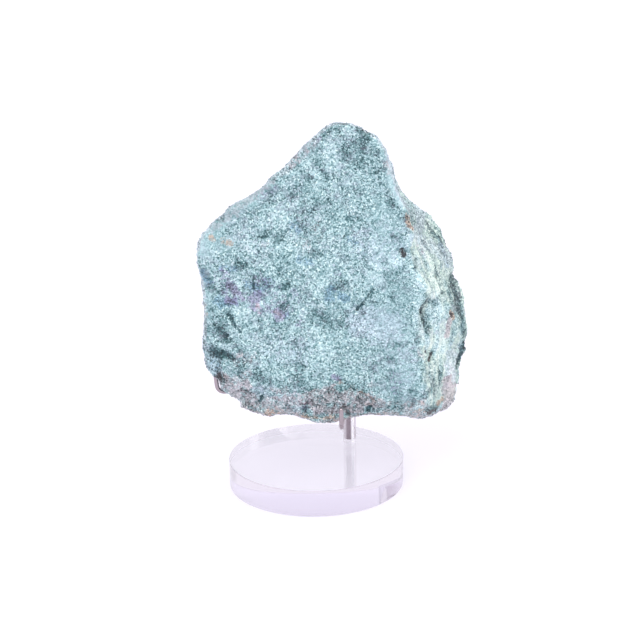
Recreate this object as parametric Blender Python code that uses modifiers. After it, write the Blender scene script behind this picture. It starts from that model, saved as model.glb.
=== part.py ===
"""Fuchsite specimen on a clear disc stand.

A slab of foliated fuchsite leans on a round metal post and sits on two wire prongs that
are brazed into the post.  The post stands in a blind hole in a clear acrylic disc.

Frame: metres, +Z up.  The origin is the centre of the disc's underside, +X runs to the
stone's right and the stone's flat sparkling face looks along -Y.
"""

import math

import bmesh
import bpy
import numpy as np
from mathutils import Vector, noise
from mathutils.bvhtree import BVHTree

MM = 0.001
GAP = 0.3 * MM  # clearance that stands for glue or braze

# --- stand -------------------------------------------------------------------------------
DISC_RADIUS = 63.5 * MM
DISC_HEIGHT = 19.05 * MM
DISC_EDGE = 0.9 * MM
DISC_SIDES = 72
POST_RADIUS = 4.75 * MM
POST_CENTRE = Vector((25.5, 34.6, 0.0)) * MM
POST_SOCKET_DEPTH = 9.5 * MM
POST_TOP = 122.0 * MM
POST_CROWN = 1.6 * MM
POST_SIDES = 24
WIRE_RADIUS = 1.6 * MM
WIRE_SOCKET_DEPTH = 3.2 * MM
WIRE_SOCKET_SIDES = 16
WIRE_SPACING = 2.4 * MM
FRONT_ARM_HEIGHT = 49.9 * MM
FRONT_PRONG_X = 18.4 * MM
LEFT_ARM_HEIGHT = 64.0 * MM

# Where each wire meets the stone, as shares of its length, and how far each bend reaches.
BEARINGS = {"front_prong": (0.5, 1.0), "left_prong": (0.7, 1.0)}
BEARING_REACH = 9.0 * MM
WIRE_CLEARANCE = 0.35 * MM
POST_CLEARANCE = 0.45 * MM
PUSH_TURNS = 40
SETTLE_TURNS = 6

# --- stone, in millimetres ---------------------------------------------------------------
# Outlines are (x, z), clockwise from the peak, as seen from the front.  The front one lies
# at OUTLINE_DEPTH before the stone's middle plane and the back one as far behind it.
STONE_CENTRE = (12.0, 0.0, 155.0)
OUTLINE_DEPTH = 20.0
FRONT_OUTLINE = [
    (12, 262.5), (20, 262.5), (30, 260.5), (38, 256), (46, 248.5), (52, 238), (55, 225),
    (60.5, 211), (68, 200), (70.5, 189), (68.5, 177), (72.5, 165), (78, 151), (80.5, 140),
    (77, 127), (76, 115), (77.5, 98), (80, 78), (82, 62), (78, 52.5), (68, 51), (60, 52),
    (50, 54), (40, 54.5), (28, 52.5), (16, 50.5), (5, 49.5), (-5, 50.5), (-11, 54.5),
    (-20, 56.5), (-30, 52), (-41, 52.5), (-50, 57), (-57.5, 66.5), (-61.5, 72),
    (-67, 76.5), (-68, 83), (-70, 88), (-76.5, 92), (-79, 99), (-78, 110), (-77, 122),
    (-75, 140), (-76, 158), (-77.5, 173), (-74, 186), (-66.5, 197), (-55.5, 205.5),
    (-36, 216.5), (-17, 233.5), (-7, 245.5), (4, 255.5),
]
BACK_OUTLINE = [
    (16, 250), (28, 248), (41, 241), (52, 232), (58, 219.5), (63.5, 209), (72.5, 201.5),
    (82.5, 193.5), (96, 180), (104, 161), (106.5, 147), (112, 134), (115.5, 118),
    (116, 106), (114, 94), (109.5, 82), (108.5, 71), (108, 61), (105.5, 51.5),
    (100.5, 45), (91, 41.5), (80, 42), (66, 50), (50, 56), (30, 59), (10, 61), (-10, 65),
    (-26, 71), (-42, 82), (-54, 94), (-64, 108), (-71, 124), (-74, 142), (-75, 158),
    (-74, 170), (-67, 181), (-56, 189), (-39, 201), (-21, 215), (-8, 228), (4, 242),
]
# Fracture planes: (a point on the plane, the direction it faces).
FRACTURES = {
    "foliation face": ((12, -27.0, 150), (0.015, -1.0, 0.02)),
    "peak shoulder": ((50, -25.0, 243), (0.52, -0.82, 0.30)),
    "upper left rim": ((-50, -26.0, 210.5), (-0.30, -0.90, 0.36)),
    "lower left chamfer": ((-66, -25.5, 104), (-0.52, -0.84, -0.12)),
    "foot bevel": ((-30, -26.5, 80), (-0.20, -0.90, -0.40)),
    "foot bevel right": ((40, -26.0, 67), (0.10, -0.88, -0.46)),
    "back face": ((15, 28.6, 120), (0.02, 1.0, 0.05)),
    "back of the peak": ((25, 20.0, 217), (0.10, 0.86, 0.50)),
    "back left facet": ((-45, 20.0, 150), (-0.55, 0.83, 0.06)),
    "back right facet": ((102, 22.0, 120), (0.42, 0.90, 0.10)),
    "back undercut": ((-30, 16.0, 76), (-0.28, 0.52, -0.80)),
    "back foot": ((60, 24.0, 60), (0.05, 0.62, -0.78)),
}
EDGE_SOFTNESS = 2.2
# Swells of the surface: (size, height, seed of the noise).  The foliation face is calmer.
SWELLS = [(46.0, 2.2, 1), (19.0, 1.3, 2), (8.5, 0.7, 5)]
FACE_CALM = 0.4
# The foliation's layers lie across Y and end in ledges on the faces that cut them.
LAYER_SPACING = 6.5
LAYER_RELIEF = 1.5
LAYER_WAVE = (38.0, 5.0, 3)
LAYER_PATCH = (27.0, 4)
# Hollows and lumps: (centre), radius, height, which is below 0 for a hollow.
LUMPS = {
    "left edge": [
        ((-63, -22, 114), 9.0, -3.4), ((-70, -16, 98), 6.0, -2.4),
        ((-48, -26, 104), 7.5, 1.8), ((-60, -24, 126), 6.5, 1.5),
        ((-50, -26, 168), 8.0, -1.2),
    ],
    "foot": [
        ((-38, -24, 74), 4.5, -2.6), ((-25, -24, 66), 8.0, 1.6), ((3, -23, 57), 9.0, 2.2),
        ((38, -24, 64), 4.0, -2.4), ((21, -25, 62), 3.6, -2.6),
    ],
    "foliation face": [
        ((46, -27, 124), 15.0, -1.3), ((14, -27, 128), 9.0, -1.2),
        ((-4, -27, 214), 8.0, -1.3), ((36, -25, 244), 8.0, -1.4),
    ],
    "right edge": [
        ((60, -25, 176), 4.2, -3.2), ((68, -22, 195), 5.0, -2.4),
        ((72, -20, 152), 6.0, 2.2), ((78, -16, 132), 7.5, -4.6),
        ((79, -17, 112), 5.5, 1.8), ((83, -14, 101), 4.0, -2.6),
    ],
    "right side": [
        ((92, 2, 128), 9.0, 1.8), ((103, 14, 150), 7.0, -2.2), ((96, 6, 165), 8.0, 1.6),
        ((106, 12, 97), 7.0, -3.4), ((98, 2, 80), 9.0, 2.0), ((58, -8, 212), 7.0, -2.2),
    ],
    "back": [
        ((20, 29, 175), 16.0, -2.6), ((-30, 27, 130), 14.0, 2.0),
        ((75, 28, 95), 13.0, -2.4), ((-5, 25, 205), 11.0, 1.8),
    ],
}
STONE_VOXEL = 2.4
STONE_TRIANGLES = 7000


def clear_scene():
    for obj in list(bpy.data.objects):
        bpy.data.objects.remove(obj)


def new_collection(name, hidden=False):
    collection = bpy.data.collections.new(name)
    collection.hide_render = hidden
    bpy.context.scene.collection.children.link(collection)
    return collection


def make_material(name, colour, roughness, metallic=0.0, transmission=0.0, ior=1.5):
    material = bpy.data.materials.new(name)
    material.use_nodes = True
    shader = material.node_tree.nodes["Principled BSDF"]
    shader.inputs["Base Color"].default_value = (*colour, 1.0)
    shader.inputs["Roughness"].default_value = roughness
    shader.inputs["Metallic"].default_value = metallic
    shader.inputs["Transmission Weight"].default_value = transmission
    shader.inputs["IOR"].default_value = ior
    return material


def add_object(name, data, collection, material=None):
    obj = bpy.data.objects.new(name, data)
    collection.objects.link(obj)
    if material:
        data.materials.clear()
        data.materials.append(material)
    return obj


def evaluated_mesh(obj):
    """A plain mesh of the object with its modifiers applied."""
    bpy.context.view_layer.update()
    graph = bpy.context.evaluated_depsgraph_get()
    return bpy.data.meshes.new_from_object(obj.evaluated_get(graph))


def read_points(mesh):
    points = np.empty(len(mesh.vertices) * 3, np.float32)
    mesh.vertices.foreach_get("co", points)
    return points.reshape(-1, 3).astype(float)


def read_normals(mesh):
    normals = np.empty(len(mesh.vertices) * 3, np.float32)
    mesh.vertex_normals.foreach_get("vector", normals)
    return normals.reshape(-1, 3).astype(float)


def write_points(mesh, points):
    mesh.vertices.foreach_set("co", points.astype(np.float32).ravel())
    mesh.update()


# --- the stone's big form ----------------------------------------------------------------
def outline_radius(outline, angles):
    """Radius of a closed outline about the stone's centre at each angle, on a smooth curve."""
    points = np.array(outline, float) - (STONE_CENTRE[0], STONE_CENTRE[2])
    known = np.arctan2(points[:, 1], points[:, 0])
    order = np.argsort(known)
    known, radius = known[order], np.hypot(points[:, 0], points[:, 1])[order]
    known = np.concatenate([known[-2:] - math.tau, known, known[:3] + math.tau])
    radius = np.concatenate([radius[-2:], radius, radius[:3]])
    slope = (radius[2:] - radius[:-2]) / (known[2:] - known[:-2])
    at = np.searchsorted(known, angles, side="right") - 1
    step = known[at + 1] - known[at]
    t = (angles - known[at]) / step
    start = (1 + 2 * t) * (1 - t) ** 2 * radius[at] + t * (1 - t) ** 2 * step * slope[at - 1]
    end = t * t * (3 - 2 * t) * radius[at + 1] - t * t * (1 - t) * step * slope[at]
    return start + end


def along(distance, towards):
    """How far a ray goes before it has gone the distance, and very far if it never does."""
    return np.where(towards > 1e-3, distance / np.maximum(towards, 1e-3), 1e3)


def stone_reach(directions):
    """Distance from the stone's centre to its surface along unit directions.

    The side is ruled between the two outlines, and each fracture plane cuts it off.  A soft
    minimum of all these distances rounds the edges a little, as handling wears them.
    """
    x, y, z = directions.T
    angles = np.arctan2(z, x)
    front = outline_radius(FRONT_OUTLINE, angles)
    back = outline_radius(BACK_OUTLINE, angles)
    spread = np.hypot(x, z) - (back - front) * y / (2 * OUTLINE_DEPTH)
    reaches = [along((front + back) / 2, spread)]
    for point, facing in FRACTURES.values():
        facing = np.array(facing) / np.linalg.norm(facing)
        distance = (np.array(point) - STONE_CENTRE) @ facing
        reaches.append(along(distance, directions @ facing))
    nearest = np.min(reaches, axis=0)
    excess = np.exp((nearest - reaches) / EDGE_SOFTNESS).sum(axis=0)
    return nearest - EDGE_SOFTNESS * np.log(excess)


def rough_stone():
    """The stone's big form as an even mesh: outlines and fracture planes, with no relief."""
    ball = bmesh.new()
    bmesh.ops.create_icosphere(ball, subdivisions=7, radius=1.0)
    mesh = bpy.data.meshes.new("rough_stone")
    ball.to_mesh(mesh)
    ball.free()
    slab = read_points(mesh) * (1.0, 0.3, 1.0)
    directions = slab / np.linalg.norm(slab, axis=1)[:, None]
    surface = directions * stone_reach(directions)[:, None] + STONE_CENTRE
    write_points(mesh, surface * MM)
    obj = add_object("rough_stone", mesh, bpy.context.scene.collection)
    remesh = obj.modifiers.new("even_mesh", "REMESH")
    remesh.mode = "VOXEL"
    remesh.voxel_size = STONE_VOXEL * MM
    even = evaluated_mesh(obj)
    bpy.data.objects.remove(obj)
    return even


# --- the stone's relief ------------------------------------------------------------------
def wobble(points, size, seed):
    """Smooth noise from -1 to 1 with features of about the given size."""
    shift = Vector((seed * 17.3, seed * -9.1, seed * 5.7))
    return np.array([noise.noise(Vector(p) / size + shift) for p in points])


def swells(points, facing):
    height = sum(rise * wobble(points, size, seed) for size, rise, seed in SWELLS)
    frontal = np.clip(-facing[:, 1], 0.0, 1.0) ** 4
    return height * (1.0 - FACE_CALM * frontal)


def layer_ledges(points, facing):
    """Ledges where the foliation's layers end, each with a long ramp and a short drop."""
    across = np.clip(1.25 - 1.5 * np.abs(facing[:, 1]), 0.0, 1.0)
    size, wave, seed = LAYER_WAVE
    layer = (points[:, 1] + wave * wobble(points, size, seed)) / LAYER_SPACING
    ramp = layer - np.floor(layer)
    ledge = np.where(ramp < 0.75, ramp / 0.75, (1.0 - ramp) / 0.25) - 0.5
    uneven = 0.55 + 1.1 * np.abs(wobble(points, *LAYER_PATCH))
    return 2.0 * LAYER_RELIEF * ledge * across * uneven


def hollows_and_lumps(points):
    height = np.zeros(len(points))
    for group in LUMPS.values():
        for centre, radius, rise in group:
            squared = ((points - centre) ** 2).sum(axis=1) / radius**2
            height += rise * np.exp(-squared)
    return height


def bearing_limit(points):
    """How far back the stone may reach at each point, so that it bears flatly on the post."""
    post = POST_CENTRE / MM
    front_of_post = post.y - (POST_RADIUS + POST_CLEARANCE) / MM
    aside = np.abs(points[:, 0] - post.x) - (POST_RADIUS / MM + 2.0)
    above = points[:, 2] - (POST_TOP / MM + 2.0)
    return front_of_post + 0.35 * np.maximum(np.maximum(aside, above), 0.0)


def add_relief(mesh):
    points, facing = read_points(mesh) / MM, read_normals(mesh)
    height = swells(points, facing) + layer_ledges(points, facing) + hollows_and_lumps(points)
    points += facing * height[:, None]
    points[:, 1] = np.minimum(points[:, 1], bearing_limit(points))
    write_points(mesh, points * MM)


def build_stone(collection):
    mesh = rough_stone()
    add_relief(mesh)
    relief = add_object("relief_stone", mesh, collection)
    triangles = relief.modifiers.new("triangles", "TRIANGULATE")
    triangles.quad_method = "SHORTEST_DIAGONAL"
    thin = relief.modifiers.new("fewer_triangles", "DECIMATE")
    thin.ratio = STONE_TRIANGLES / (2 * len(mesh.polygons))
    faceted = evaluated_mesh(relief)
    bpy.data.objects.remove(relief)
    material = make_material("fuchsite", (0.38, 0.53, 0.57), 0.55)
    return add_object("fuchsite_stone", faceted, collection, material)


# --- the stand ---------------------------------------------------------------------------
def cylinder(name, collection, radius, bottom, top, sides, centre=Vector(), material=None):
    form = bmesh.new()
    bmesh.ops.create_cone(
        form, cap_ends=True, segments=sides, radius1=radius, radius2=radius, depth=top - bottom
    )
    mesh = bpy.data.meshes.new(name)
    form.to_mesh(mesh)
    form.free()
    obj = add_object(name, mesh, collection, material)
    obj.location = (centre.x, centre.y, (top + bottom) / 2)
    return obj


def cut(obj, cutter):
    boolean = obj.modifiers.new(f"cut_{cutter.name}", "BOOLEAN")
    boolean.operation = "DIFFERENCE"
    boolean.object = cutter
    cutter.display_type = "WIRE"
    cutter.hide_render = True


def round_edges(obj, width, segments):
    bevel = obj.modifiers.new("rounded_edges", "BEVEL")
    bevel.width = width
    bevel.segments = segments
    bevel.limit_method = "ANGLE"
    bevel.angle_limit = math.radians(50)


def shade(obj):
    obj.data.shade_smooth()
    obj.data.set_sharp_from_angle(angle=math.radians(40))


def build_disc(collection, cutters):
    material = make_material("clear_acrylic", (0.98, 0.98, 1.0), 0.02, transmission=1.0, ior=1.49)
    disc = cylinder(
        "acrylic_base", collection, DISC_RADIUS, 0.0, DISC_HEIGHT, DISC_SIDES, material=material
    )
    round_edges(disc, DISC_EDGE, 2)
    floor, mouth = DISC_HEIGHT - POST_SOCKET_DEPTH, DISC_HEIGHT + POST_SOCKET_DEPTH
    socket = cylinder(
        "post_socket", cutters, POST_RADIUS + GAP, floor, mouth, POST_SIDES, POST_CENTRE
    )
    cut(disc, socket)
    shade(disc)


def build_post(collection, cutters, steel, routes):
    """The post, with a cross-drilled blind hole for the end of each wire."""
    bottom = DISC_HEIGHT - POST_SOCKET_DEPTH + GAP
    post = cylinder(
        "support_post", collection, POST_RADIUS, bottom, POST_TOP, POST_SIDES, POST_CENTRE, steel
    )
    round_edges(post, POST_CROWN, 3)
    length = 2 * POST_RADIUS
    for name, route in routes.items():
        heading = (route[1] - route[0]).normalized()
        hole = cylinder(
            f"{name}_socket", cutters, WIRE_RADIUS + GAP, 0.0, length, WIRE_SOCKET_SIDES
        )
        hole.rotation_mode = "QUATERNION"
        hole.rotation_quaternion = heading.to_track_quat("Z", "Y")
        hole.location = route[0] + heading * (length / 2 - GAP)
        cut(post, hole)
    shade(post)


# --- the wires ---------------------------------------------------------------------------
def wire_points():
    """Each wire's own points, from its end in the post to its tip, before it meets the stone."""
    x, y = POST_CENTRE.x, POST_CENTRE.y
    inner = POST_RADIUS - WIRE_SOCKET_DEPTH
    low, tip_x = FRONT_ARM_HEIGHT, FRONT_PRONG_X
    front = [
        Vector((x - 0.25 * MM, y - inner, low)),
        Vector((x - 0.8 * MM, y - 12 * MM, low)),
        Vector((tip_x + 2.2 * MM, 0.0, low)),
        Vector((tip_x + 0.4 * MM, -22.0 * MM, low)),
        Vector((tip_x, -26.0 * MM, low + 0.6 * MM)),
        Vector((tip_x, -28.6 * MM, low + 3.4 * MM)),
        Vector((tip_x, -29.0 * MM, low + 8.0 * MM)),
        Vector((tip_x, -29.0 * MM, 64.0 * MM)),
    ]
    left = [
        Vector((x - inner, y, LEFT_ARM_HEIGHT)),
        Vector((x - 12 * MM, y, LEFT_ARM_HEIGHT)),
        Vector((-6 * MM, 28 * MM, LEFT_ARM_HEIGHT)),
        Vector((-28 * MM, 17 * MM, LEFT_ARM_HEIGHT + 2 * MM)),
        Vector((-46 * MM, 4 * MM, 69.5 * MM)),
        Vector((-58 * MM, -6 * MM, 72.3 * MM)),
        Vector((-65.0 * MM, -11 * MM, 73.6 * MM)),
        Vector((-68.6 * MM, -12.6 * MM, 76.0 * MM)),
        Vector((-69.8 * MM, -13.0 * MM, 80.5 * MM)),
        Vector((-70.6 * MM, -13.2 * MM, 87.0 * MM)),
    ]
    return {"front_prong": front, "left_prong": left}


def curve_point(a, b, c, d, t):
    """A point between b and c on the smooth curve through all four."""
    return 0.5 * (
        2 * b + (c - a) * t + (2 * a - 5 * b + 4 * c - d) * t**2 + (3 * b - a - 3 * c + d) * t**3
    )


def smooth_route(points, spacing, steps=24):
    """Points at an even spacing on a smooth curve through the route's own points."""
    padded = [points[0] * 2 - points[1], *points, points[-1] * 2 - points[-2]]
    dense = [
        curve_point(*four, step / steps)
        for four in zip(padded, padded[1:], padded[2:], padded[3:])
        for step in range(steps)
    ]
    dense.append(points[-1])
    lengths = [(q - p).length for p, q in zip(dense, dense[1:])]
    walked = np.concatenate([[0.0], np.cumsum(lengths)])
    targets = np.linspace(0.0, walked[-1], round(walked[-1] / spacing) + 1)
    columns = [np.interp(targets, walked, [point[axis] for point in dense]) for axis in range(3)]
    return [Vector(place) for place in zip(*columns)]


def drawn_to_stone(route, stone, bearings):
    """Bends the route so that it just meets the stone where it carries or holds it."""
    clearance = WIRE_RADIUS + WIRE_CLEARANCE
    route = [point.copy() for point in route]
    spacing = (route[1] - route[0]).length
    for share in bearings:
        middle = round(share * (len(route) - 1))
        pull = stone.find_nearest(route[middle])[0] - route[middle]
        pull -= pull.normalized() * clearance
        for index, point in enumerate(route):
            reach = (index - middle) * spacing / BEARING_REACH
            point += pull * math.exp(-reach * reach)
    return route


def clear_of_stone(route, stone, fixed):
    """Shifts the route out of the stone, smoothly, but for its first points in the post."""
    clearance = WIRE_RADIUS + WIRE_CLEARANCE
    shifts = [Vector() for _ in route]
    for turn in range(PUSH_TURNS):
        for index in range(fixed, len(route)):
            point = route[index] + shifts[index]
            place, facing, _, _ = stone.find_nearest(point)
            away = point - place
            if away.dot(facing) < 0:
                shifts[index] += facing * clearance - away
            elif away.length < clearance:
                shifts[index] += away.normalized() * clearance - away
        if turn < PUSH_TURNS - SETTLE_TURNS:
            shifts[1:-1] = [(a + 2 * b + c) / 4 for a, b, c in zip(shifts, shifts[1:], shifts[2:])]
            shifts[:fixed] = [Vector() for _ in range(fixed)]
    return [point + shift for point, shift in zip(route, shifts)]


def build_wire(name, collection, route, steel):
    """A round wire along the route, with its tip rounded over."""
    heading = (route[-1] - route[-2]).normalized()
    angles = [math.radians(degrees) for degrees in (27, 53, 72)]
    crown = [route[-1] + heading * WIRE_RADIUS * math.sin(angle) for angle in angles]
    curve = bpy.data.curves.new(name, "CURVE")
    curve.dimensions = "3D"
    curve.bevel_depth = WIRE_RADIUS
    curve.bevel_resolution = 2
    curve.use_fill_caps = True
    spline = curve.splines.new("POLY")
    points = route + crown
    spline.points.add(len(points) - 1)
    for slot, place in zip(spline.points, points):
        slot.co = (*place, 1.0)
    for slot, angle in zip(spline.points[-len(crown):], angles):
        slot.radius = math.cos(angle)
    add_object(name, curve, collection, steel)


def build_stand(collection, cutters, stone):
    steel = make_material("polished_steel", (0.80, 0.78, 0.78), 0.14, metallic=1.0)
    corners = [vertex.co for vertex in stone.data.vertices]
    faces = [tuple(face.vertices) for face in stone.data.polygons]
    surface = BVHTree.FromPolygons(corners, faces)
    routes = {}
    for name, points in wire_points().items():
        route = drawn_to_stone(smooth_route(points, WIRE_SPACING), surface, BEARINGS[name])
        routes[name] = clear_of_stone(route, surface, fixed=3)
        build_wire(name, collection, routes[name], steel)
    build_post(collection, cutters, steel, routes)
    build_disc(collection, cutters)


def main():
    clear_scene()
    parts = new_collection("fuchsite_specimen")
    cutters = new_collection("cutters", hidden=True)
    stone = build_stone(parts)
    build_stand(parts, cutters, stone)


if __name__ == "__main__":
    main()
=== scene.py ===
"""The looks of a fuchsite specimen on a clear disc stand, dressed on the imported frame.

Lengths are metres, and a name that ends in _mm holds millimetres.  +Z is up, +X runs to
the stone's right, and the stone's flat sparkling face looks along -Y.
"""

import logging
import math
from dataclasses import dataclass, field
from enum import Enum
from functools import cached_property

import bmesh
import bpy
import numpy as np
from bmesh.types import BMesh
from bpy.types import Material, Mesh, Node, NodeTree, Object
from bpy.types import NodeSocket as Socket
from mathutils import Matrix, Vector, noise
from mathutils.bvhtree import BVHTree


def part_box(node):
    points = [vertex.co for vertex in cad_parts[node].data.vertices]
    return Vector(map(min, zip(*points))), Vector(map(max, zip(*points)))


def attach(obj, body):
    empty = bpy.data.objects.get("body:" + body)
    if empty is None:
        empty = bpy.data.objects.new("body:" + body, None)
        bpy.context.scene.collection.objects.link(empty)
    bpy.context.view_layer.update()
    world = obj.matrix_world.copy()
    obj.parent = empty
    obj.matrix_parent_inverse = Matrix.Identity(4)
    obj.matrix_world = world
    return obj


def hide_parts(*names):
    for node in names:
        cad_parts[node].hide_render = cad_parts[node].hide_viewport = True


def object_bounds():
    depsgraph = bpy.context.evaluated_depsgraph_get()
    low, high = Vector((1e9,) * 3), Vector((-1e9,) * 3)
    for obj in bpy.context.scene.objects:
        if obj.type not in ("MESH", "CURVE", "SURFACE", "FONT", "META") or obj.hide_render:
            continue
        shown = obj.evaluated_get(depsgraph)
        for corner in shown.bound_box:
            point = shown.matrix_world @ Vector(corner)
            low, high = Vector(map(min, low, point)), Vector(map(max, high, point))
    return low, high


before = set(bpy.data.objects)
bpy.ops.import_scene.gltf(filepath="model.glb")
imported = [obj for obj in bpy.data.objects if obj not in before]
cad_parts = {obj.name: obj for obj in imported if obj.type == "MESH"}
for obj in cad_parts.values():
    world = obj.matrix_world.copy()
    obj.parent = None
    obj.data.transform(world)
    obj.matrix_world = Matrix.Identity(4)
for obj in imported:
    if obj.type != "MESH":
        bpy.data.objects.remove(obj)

Colour = tuple[float, float, float]
Point = tuple[float, ...]
Stops = tuple[tuple[float, Colour], ...]

CAD_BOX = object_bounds()
BODY = "root"
MM = 0.001
UP = Vector((0, 0, 1))
SHARP_EDGE = math.radians(40)
VIEWER = Vector((0.00455, -0.8527, 0.37356))
FACE_PLANE_MM = -27.0

log = logging.getLogger("fuchsite_specimen")


def srgb(*levels: int) -> Colour:
    """The linear colour for shaders of a display colour, whose channels run from 0 to 255."""
    shares = [level / 255 for level in levels]
    return tuple(s / 12.92 if s <= 0.04045 else ((s + 0.055) / 1.055) ** 2.4 for s in shares)


# --- node trees --------------------------------------------------------------------------
class Board:
    """A node tree under construction, for a material, a world or Geometry Nodes."""

    def __init__(self, tree: NodeTree) -> None:
        """Empties the tree to start on it."""
        self.tree = tree
        tree.nodes.clear()

    def add(self, kind: str, inputs: dict | None = None, **settings: object) -> Node:
        """Adds one node.

        Args:
            kind: Blender's name for the type of node.
            inputs: A value or another node's output for each input, by name or index.
            **settings: The node's own settings.

        Returns:
            The new node.
        """
        node = self.tree.nodes.new(kind)
        for name, value in settings.items():
            setattr(node, name, value)
        for key, value in (inputs or {}).items():
            if isinstance(value, Socket):
                self.tree.links.new(value, node.inputs[key])
            else:
                node.inputs[key].default_value = value
        return node

    def math(self, operation: str, *values: object, clamp: bool = False) -> Socket:
        """The result of a Math node, kept from 0 to 1 where it is clamped."""
        settings = {"operation": operation, "use_clamp": clamp}
        return self.add("ShaderNodeMath", dict(enumerate(values)), **settings).outputs[0]

    def times(self, first: object, second: object) -> Socket:
        """The product of two outputs or numbers."""
        return self.math("MULTIPLY", first, second)

    def weighted(self, *terms: tuple[object, float], base: float = 0.0) -> Socket:
        """Adds up outputs, each times its weight.

        Args:
            *terms: Pairs of an output and its weight.
            base: A number that is added to the sum.

        Returns:
            The sum.
        """
        total: object = base
        for value, weight in terms:
            total = self.math("MULTIPLY_ADD", value, weight, total)
        return total

    @cached_property
    def place(self) -> Socket:
        """The surface point in the piece's own coordinates."""
        return self.add("ShaderNodeTexCoord").outputs["Object"]

    def cloud(self, size_mm: float, detail: float = 2.0, warp: float = 0.0,
              squeeze: Point | None = None) -> Socket:
        """Smooth noise over the piece.

        Args:
            size_mm: The size of its features.
            detail: How many finer octaves it has.
            warp: How far it is distorted.
            squeeze: What its place is multiplied by along each axis, if it is uneven.

        Returns:
            The noise, from 0 to 1 and mostly near a half.
        """
        place = self.place
        if squeeze:
            squeezed = {0: place, 1: squeeze}
            place = self.add("ShaderNodeVectorMath", squeezed, operation="MULTIPLY").outputs[0]
        inputs = {"Vector": place, "Scale": 1 / (size_mm * MM), "Detail": detail}
        return self.add("ShaderNodeTexNoise", {**inputs, "Distortion": warp}).outputs["Fac"]

    def grain(self, size_mm: float, channel: str) -> Socket:
        """A random value for each grain.

        Args:
            size_mm: The size of a grain.
            channel: Which of its random values, Red, Green or Blue.

        Returns:
            The value, from 0 to 1.
        """
        inputs = {"Vector": self.place, "Scale": 1 / (size_mm * MM)}
        colour = self.add("ShaderNodeTexVoronoi", inputs).outputs["Color"]
        return self.add("ShaderNodeSeparateColor", {0: colour}).outputs[channel]

    def ramp(self, value: Socket, stops: Stops) -> Socket:
        """Colours a value.

        Args:
            value: The value, from 0 to 1.
            stops: Each stop's place and colour.

        Returns:
            The colour.
        """
        node = self.add("ShaderNodeValToRGB", {0: value})
        elements = node.color_ramp.elements
        while len(elements) < len(stops):
            elements.new(1.0)
        for element, (place, colour) in zip(elements, stops):
            element.position = place
            element.color = (*colour, 1.0)
        return node.outputs["Color"]

    def mix(self, share: object, *colours: object) -> Socket:
        """Mixes two colours.

        Args:
            share: How much of the second there is.
            *colours: The two colours, as outputs or plain.

        Returns:
            The mixed colour.
        """
        inputs = {0: share}
        for slot, colour in zip((6, 7), colours):
            inputs[slot] = colour if isinstance(colour, Socket) else (*colour, 1.0)
        return self.add("ShaderNodeMix", inputs, data_type="RGBA").outputs[2]

    def attribute(self, name: str) -> Socket:
        """A named value of the mesh."""
        return self.add("ShaderNodeAttribute", attribute_name=name).outputs["Fac"]

    def bumped(self, height: Socket, depth_mm: float) -> Socket:
        """The surface normal, tilted by a height of the given depth."""
        node = self.add("ShaderNodeBump", {"Height": height, "Distance": depth_mm * MM})
        return node.outputs["Normal"]

    def surface(self, inputs: dict, **filling: Socket) -> None:
        """Adds the Principled shader and the output, with what fills the piece if any does."""
        shader = self.add("ShaderNodeBsdfPrincipled", inputs)
        self.add("ShaderNodeOutputMaterial", {"Surface": shader.outputs[0], **filling})


# --- finishes ----------------------------------------------------------------------------
class Tint(Enum):
    """What stains or makes up a spot of the stone, or paints shade or a highlight on it; the value
    names the mesh attribute.
    """

    # Dark mica; dark marks cut into hollows and clefts, or lying beside a wire, also paint shade
    # there.
    DARK = "dark_mica"
    # Pale quartz; pale marks that stand out on a ridge also paint a highlight on its crest.
    PALE = "pale_quartz"
    BLUE = "blue_mica"
    PURPLE = "purple_mica"
    RUST = "iron_rust"
    PINK = "pink_feldspar"
    # Black pits; those beside the wires also paint the wires' shadows.
    BLACK = "black_pit"
    # Deep green mica; in the lower-left hollows, the right-hand clefts and beside the left wire it
    # also paints shade.
    DEEP = "deep_green"
    EDGE = "cut_layers"
    # A pale grey tint on the side faces where the layers end, away from the broken right side, and
    # along the upper-left rim.
    RIM = "weathered_rim"
    SILVER = "silver_mica"
    WORN = "rubbed_rim"


class Finish:
    """A kind of material, which wires itself on a board."""

    name: str

    def make(self) -> Material:
        """Makes the material.

        Returns:
            The material, wired.
        """
        material = bpy.data.materials.new(self.name)
        material.use_nodes = True
        self.paint(Board(material.node_tree))
        return material

    def paint(self, board: Board) -> None:
        """Wires the material's shader."""
        raise NotImplementedError


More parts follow.
